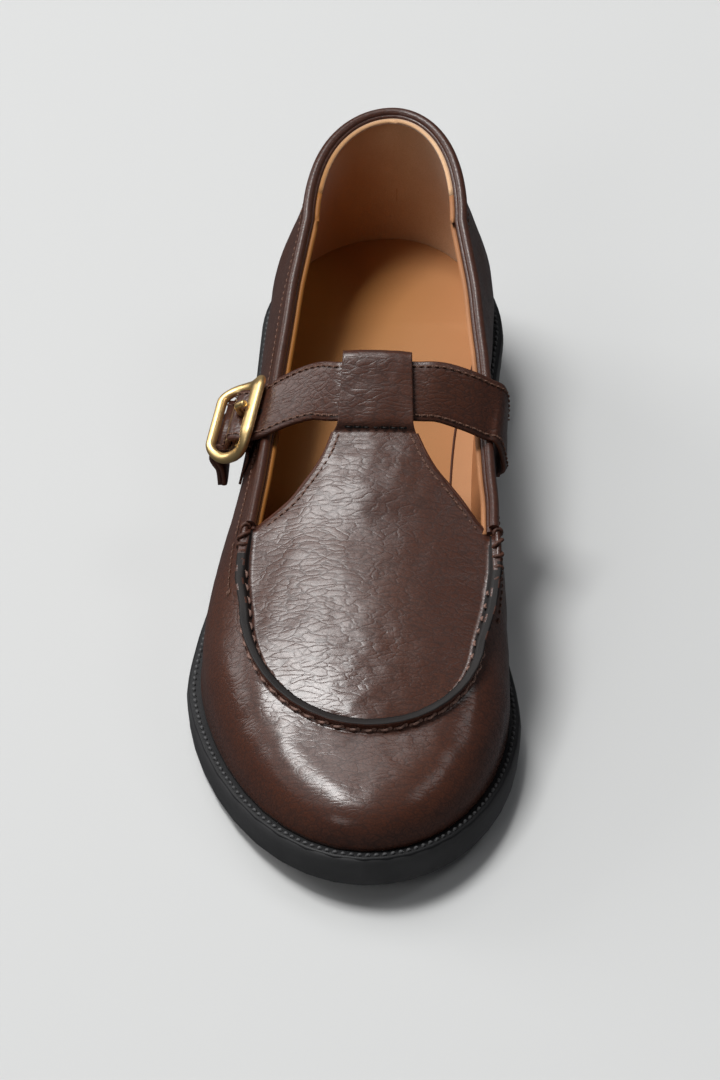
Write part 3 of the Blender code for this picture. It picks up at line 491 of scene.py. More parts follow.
class ShoeLooks(bpy.types.PropertyGroup):
    leather: colour("Leather", "Main colour of the upper's leather", (0.074, 0.0235, 0.0130))
    leather_dark: colour("Leather shade", "Colour in the grain and the folds", (0.018, 0.008, 0.006))
    burnish: colour("Burnish", "Reddish colour of rubbed and cut places", (0.090, 0.028, 0.013))
    lining: colour("Heel lining", "Suede round the inside of the heel", (0.930, 0.620, 0.370))
    quarter_lining: colour("Quarter lining", "Smooth leather inside the sides", (0.520, 0.235, 0.105))
    insole: colour("Insole", "Leather of the footbed", (0.560, 0.280, 0.135))
    rubber: colour("Rubber", "Outsole and heel", (0.036, 0.036, 0.037))
    welt: colour("Welt", "Edge strip that the stitches run along", (0.011, 0.011, 0.012))
    edge_paint: colour("Edge paint", "Top of the raised seam", (0.010, 0.009, 0.009))
    thread: colour("Thread", "Stitches of the leather", (0.150, 0.066, 0.040))
    moc_thread: colour("Seam thread", "Heavy stitches of the raised seam", (0.270, 0.150, 0.115))
    welt_thread: colour("Welt thread", "Stitches of the welt", (0.085, 0.085, 0.088))
    brass: colour("Brass", "Buckle, bar and prong", (0.950, 0.680, 0.320))
    grain: length("Grain", "Width of one pebble of the leather", 0.0011)
    stitch_pitch: length("Stitch pitch", "Spacing of the fine stitches", 0.0023)
    moc_pitch: length("Seam pitch", "Spacing of the raised seam's stitches", 0.0046)
    welt_pitch: length("Welt pitch", "Spacing of the welt's stitches", 0.0024)
    thread_radius: length("Thread radius", "Radius of the fine thread", 0.00026)
    seed: IntProperty(name="Seed", description="Start of the small irregularities", default=7, min=0)


def looks():
    return bpy.context.scene.shoe_looks


# Materials
def shader_tree(name, roughness, metallic=0.0):
    """New material with its nodes, its shader and the piece's own coordinates."""
    made = bpy.data.materials.new(name)
    made.use_nodes = True
    tree = made.node_tree
    shader = tree.nodes["Principled BSDF"]
    shader.inputs["Roughness"].default_value = roughness
    shader.inputs["Metallic"].default_value = metallic
    place = tree.nodes.new("ShaderNodeTexCoord")
    return made, tree, shader, place.outputs["Object"]


def texture(tree, kind, source, scale, **values):
    """Texture node of a kind, read at a place."""
    step = tree.nodes.new(kind)
    tree.links.new(source, step.inputs["Vector"])
    for socket, value in {"Scale": scale, **values}.items():
        step.inputs[socket].default_value = value
    return step


def speckled(tree, source, scale, detail=2.0, distortion=0.0):
    """Noise of a scale, as one value."""
    step = texture(tree, "ShaderNodeTexNoise", source, scale, Detail=detail, Distortion=distortion)
    return step.outputs["Fac"]


def ramp(tree, source, stops):
    """Value or colour read from stops, each a place from 0 to 1 and what it gives."""
    step = tree.nodes.new("ShaderNodeValToRGB")
    points = step.color_ramp.elements
    while len(points) < len(stops):
        points.new(0.5)
    for point, (place, value) in zip(points, stops):
        point.position = place
        point.color = (*value, 1.0) if hasattr(value, "__len__") else (value, value, value, 1.0)
    tree.links.new(source, step.inputs["Fac"])
    return step.outputs["Color"]


def mix(tree, factor, first, second, mode="MIX"):
    """Colour between two; each part is a socket, a number or a colour."""
    step = tree.nodes.new("ShaderNodeMix")
    step.data_type = "RGBA"
    step.blend_type = mode
    for socket, value in (("Factor", factor), ("A", first), ("B", second)):
        target = next(s for s in step.inputs if s.name == socket and s.enabled)
        if isinstance(value, bpy.types.NodeSocket):
            tree.links.new(value, target)
        elif hasattr(value, "__len__"):
            target.default_value = (*value, 1.0)
        else:
            target.default_value = value
    return next(s for s in step.outputs if s.enabled)


def bump(tree, height, distance, strength, before=None):
    """Normal pressed by a height over another normal; the strength is a number or a socket."""
    step = tree.nodes.new("ShaderNodeBump")
    step.inputs["Distance"].default_value = distance
    tree.links.new(height, step.inputs["Height"])
    if isinstance(strength, bpy.types.NodeSocket):
        tree.links.new(strength, step.inputs["Strength"])
    else:
        step.inputs["Strength"].default_value = strength
    if before is not None:
        tree.links.new(before, step.inputs["Normal"])
    return step.outputs["Normal"]


def between(tree, shader, source, stops, first, second):
    """Base colour that goes from one colour to another along a ramp."""
    tree.links.new(mix(tree, ramp(tree, source, stops), first, second), shader.inputs["Base Color"])


def shaded(colour_values, share, added=0.0):
    """Colour made darker or lighter by a share."""
    return tuple(min(1.0, value * share + added) for value in colour_values)


def warped(tree, place, scale, amount):
    """Coordinates shifted by noise, so that cells lose their straight edges."""
    wobble = texture(tree, "ShaderNodeTexNoise", place, scale, Detail=2.0, Distortion=0.0)
    centred = tree.nodes.new("ShaderNodeVectorMath")
    centred.operation = "MULTIPLY_ADD"
    tree.links.new(wobble.outputs["Color"], centred.inputs[0])
    centred.inputs[1].default_value = (amount, amount, amount)
    tree.links.new(place, centred.inputs[2])
    return centred.outputs["Vector"]


def crackle(tree, place, size, wander, stretch):
    """Network of grooves round cells of a size: rounded cells, and the thin lines between them."""
    drawn = tree.nodes.new("ShaderNodeMapping")
    tree.links.new(place, drawn.inputs["Vector"])
    drawn.inputs["Scale"].default_value = stretch
    bent = warped(tree, drawn.outputs["Vector"], 0.45 / size, size * wander)
    cells = texture(tree, "ShaderNodeTexVoronoi", bent, 1 / size)
    cells.feature = "DISTANCE_TO_EDGE"
    return (ramp(tree, cells.outputs["Distance"], [(0.0, 0.0), (0.12, 0.55), (0.45, 1.0)]),
            ramp(tree, cells.outputs["Distance"], [(0.0, 0.0), (0.09, 1.0)]))


def span(tree, source, first, last, low=0.0, high=1.0):
    """Value brought from one range to another and held at its ends."""
    node = tree.nodes.new("ShaderNodeMapRange")
    tree.links.new(source, node.inputs["Value"])
    for socket, value in zip(("From Min", "From Max", "To Min", "To Max"), (first, last, low, high)):
        node.inputs[socket].default_value = value
    return node.outputs["Result"]


def towards_toe(tree, place, first, last, low, high=1.0):
    """Value that falls from high to low between two places along the shoe."""
    split = tree.nodes.new("ShaderNodeSeparateXYZ")
    tree.links.new(place, split.inputs["Vector"])
    return span(tree, split.outputs["Y"], LENGTH / 2 - last, LENGTH / 2 - first, low, high)


# Runs between which the grain fades towards the toe, and the coat's roughness with its two values
TOE_GRAIN = (0.205, 0.232)
TOE_COAT = (0.194, 0.214, 0.22, 0.31)
COAT_WEIGHT = 0.68
LEATHER_SPECULAR = 0.17


def leather(name, base, dark, burnish, grain, relief, roughness, burnish_share, toe_grain):
    """Waxed leather: fine cells and longer wrinkles, rubbed patches, a smoother toe and uneven gloss."""
    made, tree, shader, place = shader_tree(name, roughness)
    fine, fine_lines = crackle(tree, place, grain, 1.6, (0.75, 1.25, 1.0))
    folds, long_lines = crackle(tree, place, grain * 2.4, 2.6, (0.5, 1.3, 1.0))
    patches = speckled(tree, place, 34.0, 4.0)
    swell = speckled(tree, place, 0.20 / grain, 3.0, 0.8)
    speckle = speckled(tree, place, 1.6 / grain, 4.0)
    tone = mix(tree, ramp(tree, patches, [(0.42, 0.0), (0.66, burnish_share)]), base, burnish)
    tone = mix(tree, ramp(tree, speckle, [(0.36, 0.30), (0.64, 0.0)]), tone, dark)
    # Darker along the lines between the cells and along the folds' lines, where the bump makes grooves: the
    # grain's own dark lines and painted shade in its grooves
    in_lines = ramp(tree, mix(tree, 1.0, fine_lines, long_lines, "MULTIPLY"), [(0.0, 0.5), (1.0, 0.0)])
    tree.links.new(mix(tree, in_lines, tone, dark), shader.inputs["Base Color"])
    gloss = ramp(tree, patches, [(0.3, roughness - 0.04), (0.7, roughness + 0.06)])
    tree.links.new(mix(tree, in_lines, gloss, (1.0, 1.0, 1.0)), shader.inputs["Roughness"])
    strength = towards_toe(tree, place, *TOE_GRAIN, toe_grain)
    normal = bump(tree, swell, relief * 1.3, 0.20)
    normal = bump(tree, folds, relief * 0.40, strength, normal)
    tree.links.new(bump(tree, fine, relief * 0.08, 0.30, normal), shader.inputs["Coat Normal"])
    tree.links.new(bump(tree, fine, relief * 0.30, strength, normal), shader.inputs["Normal"])
    shader.inputs["Specular IOR Level"].default_value = LEATHER_SPECULAR
    shader.inputs["Coat Weight"].default_value = COAT_WEIGHT
    tree.links.new(towards_toe(tree, place, *TOE_COAT), shader.inputs["Coat Roughness"])
    return made


# Painted shade on the linings and the footbed, darkest on the shoe's outer side: the share of its base
# colour that a lining keeps in the deepest painted shade,
# and the painted shade itself: how deep, and the distances along a slanted direction between which it fades
# out
PAINTED_SHADE_DIRECTION = (1.0, 0.0, 0.3)
HEEL_PAINTED_SHADE_TINT = (0.40, 0.225, 0.042)
SOCK_PAINTED_SHADE_TINT = (0.62, 0.50, 0.150)
HEEL_PAINTED_SHADE = (0.90, 0.002, 0.046, HEEL_PAINTED_SHADE_TINT)
SOCK_PAINTED_SHADE = (0.90, -0.0045, 0.0475, SOCK_PAINTED_SHADE_TINT)


def smooth_leather(name, base, dark, roughness, suede=0.0, shade=None):
    """Leather without grain, from smooth to suede, with the shade of the shoe's inside painted into its
    colour if wanted.
    """
    made, tree, shader, place = shader_tree(name, roughness)
    fibres = speckled(tree, place, 2600.0, 3.0)
    tone = mix(tree, ramp(tree, speckled(tree, place, 55.0, 5.0), [(0.35, 0.28), (0.65, 0.0)]), base, dark)
    tone = mix(tree, ramp(tree, fibres, [(0.3, 0.14 + suede * 0.2), (0.7, 0.0)]), tone, dark)
    # Painted shade: the colour darkens towards the shoe's outer side, down to the base colour times the
    # shade's tint
    if shade:
        deepest, first, last, tint = shade
        slant = tree.nodes.new("ShaderNodeVectorMath")
        slant.operation = "DOT_PRODUCT"
        tree.links.new(place, slant.inputs[0])
        slant.inputs[1].default_value = PAINTED_SHADE_DIRECTION
        across = span(tree, slant.outputs["Value"], first, last)
        painted_shade_amount = ramp(tree, across, [(0.0, deepest), (1.0, 0.0)])
        tone = mix(tree, painted_shade_amount, tone, tuple(c * d for c, d in zip(base, tint)))
    tree.links.new(tone, shader.inputs["Base Color"])
    tree.links.new(bump(tree, fibres, 0.00012, 0.25 + suede * 0.4), shader.inputs["Normal"])
    shader.inputs["Sheen Weight"].default_value = suede * 0.6
    shader.inputs["Specular IOR Level"].default_value = 0.25
    return made


def rubber(name, base, roughness):
    """Dull rubber with scuffs and fine specks."""
    made, tree, shader, place = shader_tree(name, roughness)
    scuffs = speckled(tree, place, 60.0, 5.0, 0.6)
    between(tree, shader, scuffs, [(0.4, 0.0), (0.8, 0.6)], base, shaded(base, 1.5, 0.004))
    normal = bump(tree, speckled(tree, place, 1900.0, 4.0), 0.00010, 0.35)
    tree.links.new(bump(tree, scuffs, 0.0006, 0.15, normal), shader.inputs["Normal"])
    shader.inputs["Specular IOR Level"].default_value = 0.30
    return made


def metal(name, base, roughness):
    """Tarnished metal with fine scratches."""
    made, tree, shader, place = shader_tree(name, roughness, 1.0)
    tarnish = speckled(tree, place, 260.0, 4.0)
    between(tree, shader, tarnish, [(0.4, 0.0), (0.75, 0.6)], base, shaded(base, 0.72))
    gloss = ramp(tree, tarnish, [(0.3, roughness - 0.05), (0.7, roughness + 0.10)])
    tree.links.new(gloss, shader.inputs["Roughness"])
    tree.links.new(bump(tree, speckled(tree, place, 3200.0), 0.00005, 0.15), shader.inputs["Normal"])
    return made


def thread(name, base, radius):
    """Twisted thread: fine bands across it, darker in the low places of the twist as painted shade of its
    grooves.
    """
    made, tree, shader, place = shader_tree(name, 0.62)
    bands = speckled(tree, place, 0.9 / radius, 1.0)
    # Painted shade: the bands darken where the bump below makes grooves
    between(tree, shader, bands, [(0.4, 0.8), (0.62, 0.0)], base, shaded(base, 0.45))
    tree.links.new(bump(tree, bands, radius * 0.5, 0.5), shader.inputs["Normal"])
    return made


def plain(name, base, roughness):
    """Dull colour with fine noise."""
    made, tree, shader, place = shader_tree(name, roughness)
    between(tree, shader, speckled(tree, place, 900.0), [(0.4, 0.0), (0.7, 1.0)], base, shaded(base, 0.7))
    return made


def dyed(name, look, grain_share, relief, roughness, burnish_share, toe_grain=1.0):
    """One of the three leathers in the upper's colours."""
    return leather(name, look.leather, look.leather_dark, look.burnish, look.grain * grain_share, relief,
                   roughness, burnish_share, toe_grain)


MAKERS = {
    "shoe_leather": lambda name, look: dyed(name, look, 1.0, 0.00012, 0.38, 0.7, 0.50),
    "strap_leather": lambda name, look: dyed(name, look, 0.9, 0.00016, 0.38, 0.7),
    "binding_leather": lambda name, look: dyed(name, look, 0.7, 0.00010, 0.32, 0.3),
    "cut_edge": lambda name, look: smooth_leather(name, look.burnish, look.leather_dark, 0.55),
    "seam_edge": lambda name, look: smooth_leather(name, look.edge_paint, look.leather_dark, 0.58),
    # The linings and the footbed carry painted shade, darkest on the shoe's outer side
    "heel_lining": lambda name, look: smooth_leather(name, look.lining, look.quarter_lining, 0.85, 1.0,
                                                     HEEL_PAINTED_SHADE),
    "quarter_lining": lambda name, look: smooth_leather(name, look.quarter_lining, look.burnish, 0.55, 0.0,
                                                        SOCK_PAINTED_SHADE),
    "insole_leather": lambda name, look: smooth_leather(name, look.insole, look.quarter_lining, 0.50, 0.0,
                                                        SOCK_PAINTED_SHADE),
    "sole_rubber": lambda name, look: rubber(name, look.rubber, 0.42),
    "welt_rubber": lambda name, look: rubber(name, look.welt, 0.50),
    "brass": lambda name, look: metal(name, look.brass, 0.38),
    "thread": lambda name, look: thread(name, look.thread, look.thread_radius),
    "moc_thread": lambda name, look: thread(name, look.moc_thread, look.thread_radius * 2),
    "knot_thread": lambda name, look: thread(name, look.burnish, look.thread_radius * 2),
    "welt_thread": lambda name, look: thread(name, look.welt_thread, look.thread_radius * 2),
    # Flat dark discs that stand in for holes: painted shade inside the stitch holes and the strap's spare
    # holes
    "hole": lambda name, look: plain(name, shaded(look.leather_dark, 0.25), 0.9),
}


def finish(name):
    """Material by name, made the first time that it is asked for."""
    return bpy.data.materials.get(name) or MAKERS[name](name, looks())


# Pieces
def new_piece(name, data, finishes):
    """Object of the scene with its finishes."""
    piece = bpy.data.objects.new(name, data)
    bpy.context.scene.collection.objects.link(piece)
    data.materials.clear()
    for item in finishes:
        data.materials.append(finish(item))
    return piece


def select_only(piece):
    bpy.ops.object.select_all(action="DESELECT")
    piece.select_set(True)
    bpy.context.view_layer.objects.active = piece


def refined(node, name, finishes, levels, sharp=38.0):
    """Smooth piece for a CAD node: triangles merged into quads, sharp edges kept, the rest rounded."""
    piece = new_piece(name, NODES[node].data.copy(), finishes)
    select_only(piece)
    bpy.ops.object.mode_set(mode="EDIT")
    bpy.ops.mesh.select_all(action="SELECT")
    bpy.ops.mesh.customdata_custom_splitnormals_clear()
    bpy.ops.mesh.remove_doubles(threshold=0.00001)
    bpy.ops.mesh.tris_convert_to_quads(face_threshold=math.radians(60), shape_threshold=math.radians(70))
    bpy.ops.mesh.mark_sharp(clear=True)
    bpy.ops.mesh.select_all(action="DESELECT")
    bpy.ops.mesh.edges_select_sharp(sharpness=math.radians(sharp))
    bpy.ops.transform.edge_crease(value=0.8)
    bpy.ops.object.mode_set(mode="OBJECT")
    step = piece.modifiers.new("smooth", "SUBSURF")
    step.levels = levels
    step.render_levels = levels
    bpy.ops.object.modifier_apply(modifier="smooth")
    bpy.ops.object.shade_smooth()
    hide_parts(node)
    return piece


def settle(piece):
    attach(piece, "root")
    piece.select_set(False)
    return piece


def mesh_piece(name, shell, finishes):
    """Piece from a finished bmesh, left selected for the next step."""
    data = bpy.data.meshes.new(name)
    shell.to_mesh(data)
    shell.free()
    piece = new_piece(name, data, finishes)
    select_only(piece)
    return piece


def circle(centre, first, second, count):
    """Points round an ellipse given by its two half axes."""
    turns = [math.tau * k / count for k in range(count)]
    return [centre + first * math.cos(turn) + second * math.sin(turn) for turn in turns]


def join_rings(shell, rings):
    """Skin between rings of the same size; their vertices come back."""
    loops = [[shell.verts.new(point) for point in ring] for ring in rings]
    size = len(rings[0])
    for low, high in zip(loops, loops[1:]):
        for k in range(size):
            shell.faces.new([low[k], low[(k + 1) % size], high[(k + 1) % size], high[k]])
    return loops


def surface(node):
    """Faces of a CAD node, to lay points on."""
    data = NODES[node].data
    return BVHTree.FromPolygons([v.co for v in data.vertices], [p.vertices for p in data.polygons])


def laid(tree, points, lift=0.0):
    """Points set down on a surface, each with its normal, raised by a lift."""
    route = []
    for point in points:
        place, normal = tree.find_nearest(point)[:2]
        route.append((place + normal * lift, normal))
    return route


# Shorter parts of a line have no sure direction
SHORTEST_STEP = 1e-7


def spaced(route, pitch):
    """Even stations along a route of (point, normal): point, direction and normal."""
    stations = []
    left = pitch / 2
    for (a, n), (b, m) in zip(route, route[1:]):
        step = (b - a).length
        if step < SHORTEST_STEP:
            continue
        while left <= step:
            t = left / step
            stations.append((a.lerp(b, t), (b - a).normalized(), n.lerp(m, t).normalized()))
            left += pitch
        left -= step
    return stations


# Rings of one stitch: place along it, thickness and lift, as shares of its reach and of its radius
STITCH_RINGS = ((-0.50, 0.35, -0.6), (-0.34, 0.85, 0.25), (-0.12, 1.0, 0.62), (0.12, 1.0, 0.62),
                (0.34, 0.85, 0.25), (0.50, 0.35, -0.6))
STITCH_SIDES = 7
STITCH_WANDER = 4.0
HOLE_SIDES = 8
HOLE_LIFT = 0.12


def stitches(name, route, pitch, share, radius, finish_name, hole, turn=0.0):
    """Row of raised thread stitches, with a dark flat disc of so many radii at the ends of each if wanted,
    painted shade of the stitch hole.
    """
    chance = random.Random(looks().seed)
    shell = bmesh.new()
    for place, along, normal in spaced(route, pitch):
        angle = math.radians(turn + chance.uniform(-STITCH_WANDER, STITCH_WANDER))
        across = normal.cross(along).normalized()
        line = (along * math.cos(angle) + across * math.sin(angle)).normalized()
        side = normal.cross(line).normalized()
        reach = pitch * share * chance.uniform(0.94, 1.04)
        join_rings(shell, [circle(place + line * reach * offset + normal * radius * lift,
                                  side * radius * thick, normal * radius * thick, STITCH_SIDES)
                           for offset, thick, lift in STITCH_RINGS])
        for end in (-0.5, 0.5) if hole else ():
            centre = place + line * reach * end + normal * radius * HOLE_LIFT
            rim = circle(centre, side * radius * hole, line * radius * hole, HOLE_SIDES)
            shell.faces.new([shell.verts.new(point) for point in rim]).material_index = 1
    piece = mesh_piece(name, shell, [finish_name, "hole"])
    bpy.ops.object.shade_smooth()
    return settle(piece)


def fine_stitches(name, route, share, hole=1.25):
    """Row of stitches in the fine thread, at its own spacing."""
    look = looks()
    return stitches(name, route, look.stitch_pitch, share, look.thread_radius, "thread", hole)


def cord_piece(name, points, radius, finish_name, resolution=3):
    """Round cord along a line of points."""
    data = bpy.data.curves.new(name, "CURVE")
    data.dimensions = "3D"
    data.bevel_depth = radius
    data.bevel_resolution = resolution
    data.use_fill_caps = True
    line = data.splines.new("POLY")
    line.points.add(len(points) - 1)
    for place, point in zip(line.points, points):
        place.co = (*point, 1.0)
    return settle(new_piece(name, data, [finish_name]))


def band_piece(name, first, second, finish_name, thickness):
    """Thin strip between two lines of points."""
    count = len(first)
    shell = bmesh.new()
    verts = [shell.verts.new(point) for point in list(first) + list(second)]
    for i in range(count - 1):
        shell.faces.new([verts[i], verts[i + 1], verts[count + i + 1], verts[count + i]])
    bmesh.ops.recalc_face_normals(shell, faces=shell.faces)
    piece = mesh_piece(name, shell, [finish_name])
    sheet = piece.modifiers.new("thickness", "SOLIDIFY")
    sheet.thickness = thickness
    sheet.offset = 0.0
    bpy.ops.object.shade_smooth()
    return settle(piece)


# Lines that the dressing follows
def fine_side(side, zone, first, last, steps):
    """Even columns through a part of one zone."""
    return [Column(side, zone, blend(first, last, k / steps)) for k in range(steps + 1)]


# Columns in each zone, for lines along the topline and the seam, and for rings round the whole shoe
HEEL_STEPS = 24
REAR_STEPS = 40
FRONT_STEPS = 8
TOE_STEPS = 48
RING_STEPS = (("heel", 20), ("rear", 30), ("front", 6), ("toe", 30))


def around_heel(first=0.0):
    """Columns from the lateral corner round the heel to the medial corner."""
    lateral = (fine_side(LATERAL, "rear", 1.0 - first, 0.0, REAR_STEPS)
               + fine_side(LATERAL, "heel", 1.0, 0.0, HEEL_STEPS))
    return lateral + [column._replace(side=MEDIAL) for column in lateral[::-1]]


def around_toe():
    """Columns from the lateral corner round the toe to the medial corner."""
    lateral = (fine_side(LATERAL, "front", 0.0, 1.0, FRONT_STEPS)
               + fine_side(LATERAL, "toe", 0.0, 1.0, TOE_STEPS))
    return lateral + [column._replace(side=MEDIAL) for column in lateral[::-1]]


def all_round():
    """Columns round the whole shoe from the heel's back, medial side first."""
    medial = [column for zone, steps in RING_STEPS for column in fine_side(MEDIAL, zone, 0.0, 1.0, steps)]
    return medial + [column._replace(side=LATERAL) for column in medial[::-1]]


THROAT_STEPS = 14


def throat_edge(side):
    """Cut edge of the apron on one side, from the corner to the T-bar's stitch line."""
    line = stitch_line_point()
    corner = ridge_points(Column(side, "rear", 1.0))[2]
    flare = "flare_" + SIDES[side]
    points = []
    for k in range(THROAT_STEPS + 1):
        share = k / THROAT_STEPS
        x = blend(line.x + side * (TAB_HALF + TAB_FLARE), corner.x, read(THROAT_ROWS, flare, share))
        points.append(Vector((x, blend(corner.y, line.y, share),
                              blend(corner.z, line.z - TAB_CROWN, read(THROAT_ROWS, "lift", share)))))
    return points


def heading(points, i):
    """Way from the point before to the point after."""
    return points[min(i + 1, len(points) - 1)] - points[max(i - 1, 0)]


def set_in(points, distance, side):
    """A line moved sideways in plan by a distance towards the middle of the apron."""
    moved = []
    for i, point in enumerate(points):
        along = heading(points, i)
        across = Vector((along.y, -along.x, 0.0)).normalized()
        if across.x * side > 0:
            across = -across
        moved.append(point + across * distance)
    return moved


STRAP_STEPS = 6


def strap_path():
    """Middle of the strap with its width's direction and its outward normal, tail to medial end."""
    rows = strap_route()
    points = smooth_path([point for point, hint in rows], STRAP_STEPS)
    hints = [a[1].lerp(b[1], k / STRAP_STEPS) for a, b in zip(rows, rows[1:]) for k in range(STRAP_STEPS)]
    hints.append(rows[-1][1])
    route = []
    for i, point in enumerate(points):
        along = heading(points, i).normalized()
        across = (hints[i] - along * hints[i].dot(along)).normalized()
        route.append((point, along, across, across.cross(along)))
    return route


# The upper: creases pressed into its leather
Fold = namedtuple("Fold", "start_x start_run end_x end_run depth width")
FOLDS = [Fold(*row) for row in (
    (-0.034, 0.180, -0.014, 0.187, 0.00022, 0.0026),
    (-0.034, 0.190, -0.018, 0.195, 0.00018, 0.0024),
    (0.016, 0.185, 0.036, 0.177, 0.00024, 0.0024),
    (0.014, 0.194, 0.033, 0.189, 0.00020, 0.0022),
    (-0.018, 0.168, 0.018, 0.171, 0.00016, 0.0030),
    (-0.012, 0.1395, 0.012, 0.1405, 0.00030, 0.0016),
    (-0.008, 0.1475, 0.013, 0.1455, 0.00020, 0.0018),
    (-0.043, 0.176, -0.050, 0.200, 0.00040, 0.0030),
    (0.042, 0.172, 0.046, 0.196, 0.00040, 0.0030),
    (-0.036, 0.030, -0.036, 0.058, 0.00040, 0.0034),
    (0.036, 0.028, 0.036, 0.060, 0.00035, 0.0034))]
FOLD_BEND = 0.0012
# Ripples of the leather as scale and depth; the folds keep clear of the welt
RIPPLES = ((130, 0.00022), (320, 0.00008))
WELT_MARGIN = 0.004
# The T-bar's box: half its depth and half its width
TAB_SLACK_OUT = 0.008
TAB_SLACK_X = 0.0125
# Runs where the suede ends and where the seam's paint starts; distances from its crest
HEEL_LINING_RUN = 0.062
PAINT_RUN = CORNER_RUN + 0.0095
CREST_REACH = RIDGE_HEIGHT * 1.15
PAINT_REACH = RIDGE_WIDTH * 0.30
UPPER_FINISHES = ["shoe_leather", "heel_lining", "quarter_lining", "seam_edge"]
SKIN, HEEL, QUARTER, SEAM = range(4)


def fold_share(fold, x, run):
    """How strongly a fold presses a place in plan, 0 to 1: soft across it and faded at its ends."""
    dx, dr = fold.end_x - fold.start_x, fold.end_run - fold.start_run
    size = math.hypot(dx, dr)
    along = ((x - fold.start_x) * dx + (run - fold.start_run) * dr) / size
    across = ((x - fold.start_x) * dr - (run - fold.start_run) * dx) / size
    bend = FOLD_BEND * math.sin(math.pi * along / size)
    fade = max(0.0, min(1.0, along / size * 4, (1 - along / size) * 4))
    return math.exp(-((across - bend) / fold.width) ** 2) * fade


def press_folds(piece):
    """Press the creases and ripples into the outer face of the upper."""
    data = piece.data
    normals = [v.normal.copy() for v in data.vertices]
    for vert, normal in zip(data.vertices, normals):
        run = run_of(vert.co)
        if inner_side(vert.co, normal) >= 0 or vert.co.z < welt_top(run) + WELT_MARGIN:
            continue
        depth = sum(fold.depth * fold_share(fold, vert.co.x - CENTRE_X, run) for fold in FOLDS)
        ripple = sum(noise.noise(vert.co * scale) * size for scale, size in RIPPLES)
        vert.co -= normal * (depth + ripple)


def inner_side(place, normal):
    """Positive where a face looks into the shoe, negative where it looks out."""
    share = min(max(run_of(place), 0.030), 0.228) / LENGTH
    axis = world(0.0, share * LENGTH, 0.020 + 0.030 * (1 - share))
    return (axis - place).normalized().dot(normal)


def in_tab(place):
    """Whether a place lies on the T-bar under the strap."""
    centre, along, out = strap_frame()
    away = place - centre
    return (abs(away.dot(along)) < STRAP_WIDTH / 2 + STITCH_REACH and abs(away.dot(out)) < TAB_SLACK_OUT
            and abs(away.x) < TAB_SLACK_X)


class SHOE_OT_upper(bpy.types.Operator):
    """Leather upper with its painted seam edge, painted shade on the seam's inner faces, its folds and the
    linings inside it
    """
    bl_idname = "shoe.upper"
    bl_label = "Upper and Linings"

    def execute(self, context):
        piece = refined("upper", "upper_leather", UPPER_FINISHES, 2, 32.0)
        tops = []
        for column in around_toe():
            outer, inner, foot = ridge_points(column)
            tops += [outer.lerp(inner, t) for t in (0.1, 0.5, 0.9)]
        crest = BVHTree.FromPolygons(tops + [p + Vector((0, 0, 1e-6)) for p in tops],
                                     [(i, i + 1, i + len(tops)) for i in range(len(tops) - 1)])
        press_folds(piece)
        middle = world(0.0, CORNER_RUN + 0.022, 0.0)
        for face in piece.data.polygons:
            centre, normal = face.center, face.normal
            run = run_of(centre)
            if in_tab(centre):
                continue
            from_crest = crest.find_nearest(centre)[3]
            if run > CORNER_RUN - 0.004 and from_crest < CREST_REACH:
                painted = run > PAINT_RUN and normal.z > 0.55 and from_crest < PAINT_REACH
                # Faces of the raised seam that look towards the apron's middle also take the dark edge
                # paint, as painted shade of the groove inside the seam
                inwards = Vector((middle.x - centre.x, middle.y - centre.y, 0.0)).normalized().dot(normal)
                face.material_index = SEAM if painted or inwards > 0.35 else SKIN
            elif inner_side(centre, normal) > 0.15:
                face.material_index = HEEL if run < HEEL_LINING_RUN else QUARTER
        settle(piece)
        return {"FINISHED"}


# Edge of the lining: its depth behind the wall's outer face, and the columns after which it changes
LINING_DEPTH = 0.0030
LINING_SPLIT = 45


class SHOE_OT_lining_edges(bpy.types.Operator):
    """Edge of the lining under the topline, the dark groove beside the binding and the heel's back seam"""
    bl_idname = "shoe.lining_edges"
    bl_label = "Lining Edges"

    def execute(self, context):
        columns = around_heel()
        first, second, groove = [
            [wall_point(c, 1.0) - top_normal(c) * depth + top_direction(c) * lift for c in columns]
            for depth, lift in ((LINING_DEPTH, 0.0016), (LINING_DEPTH + 0.0014, 0.0016), (0.0021, 0.0018))]
        size = len(columns)
        for name, part, finish_name in (
                ("lateral", slice(0, LINING_SPLIT + 1), "quarter_lining"),
                ("heel", slice(LINING_SPLIT, size - LINING_SPLIT), "heel_lining"),
                ("medial", slice(size - LINING_SPLIT - 1, size), "quarter_lining")):
            band_piece("lining_edge_" + name, first[part], second[part], finish_name, 0.0009)
        cord_piece("binding_groove", groove, 0.0009, "binding_leather")
        back = Column(MEDIAL, "heel", 0.02)
        seam = [wall_point(back, 0.10 + 0.03 * k) - top_normal(back) * (UPPER_WALL + 0.0001)
                for k in range(12)]
        cord_piece("heel_back_seam", seam, 0.00022, "quarter_lining")
        return {"FINISHED"}


# The bead is thinner than the CAD's binding and stands out of the wall by this much
BEAD_LIFT = 0.0002


class SHOE_OT_binding(bpy.types.Operator):
    """Glossy rolled binding along the topline"""
    bl_idname = "shoe.binding"
    bl_label = "Binding"

    def execute(self, context):
        points = []
        for column in around_heel(0.012):
            middle = wall_point(column, 1.0) - top_normal(column) * UPPER_WALL / 2
            points.append(middle + top_direction(column) * (BINDING_RADIUS + GAP)
                          + top_normal(column) * BEAD_LIFT)
        piece = cord_piece("binding_bead", points, BINDING_RADIUS - BEAD_LIFT, "binding_leather", 5)
        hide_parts("binding")
        return {"FINISHED"}


# Distance of the fine rows from the topline and from the throat's edge
TOPLINE_DROP = 0.0036 * 1.15
THROAT_INSET = 0.0019
# Columns that the heavy rows leave out: at the corners, beside the toe's middle and outside round the toe
MOC_CORNER = 4
MOC_TIP = 16
MOC_TOE = 10


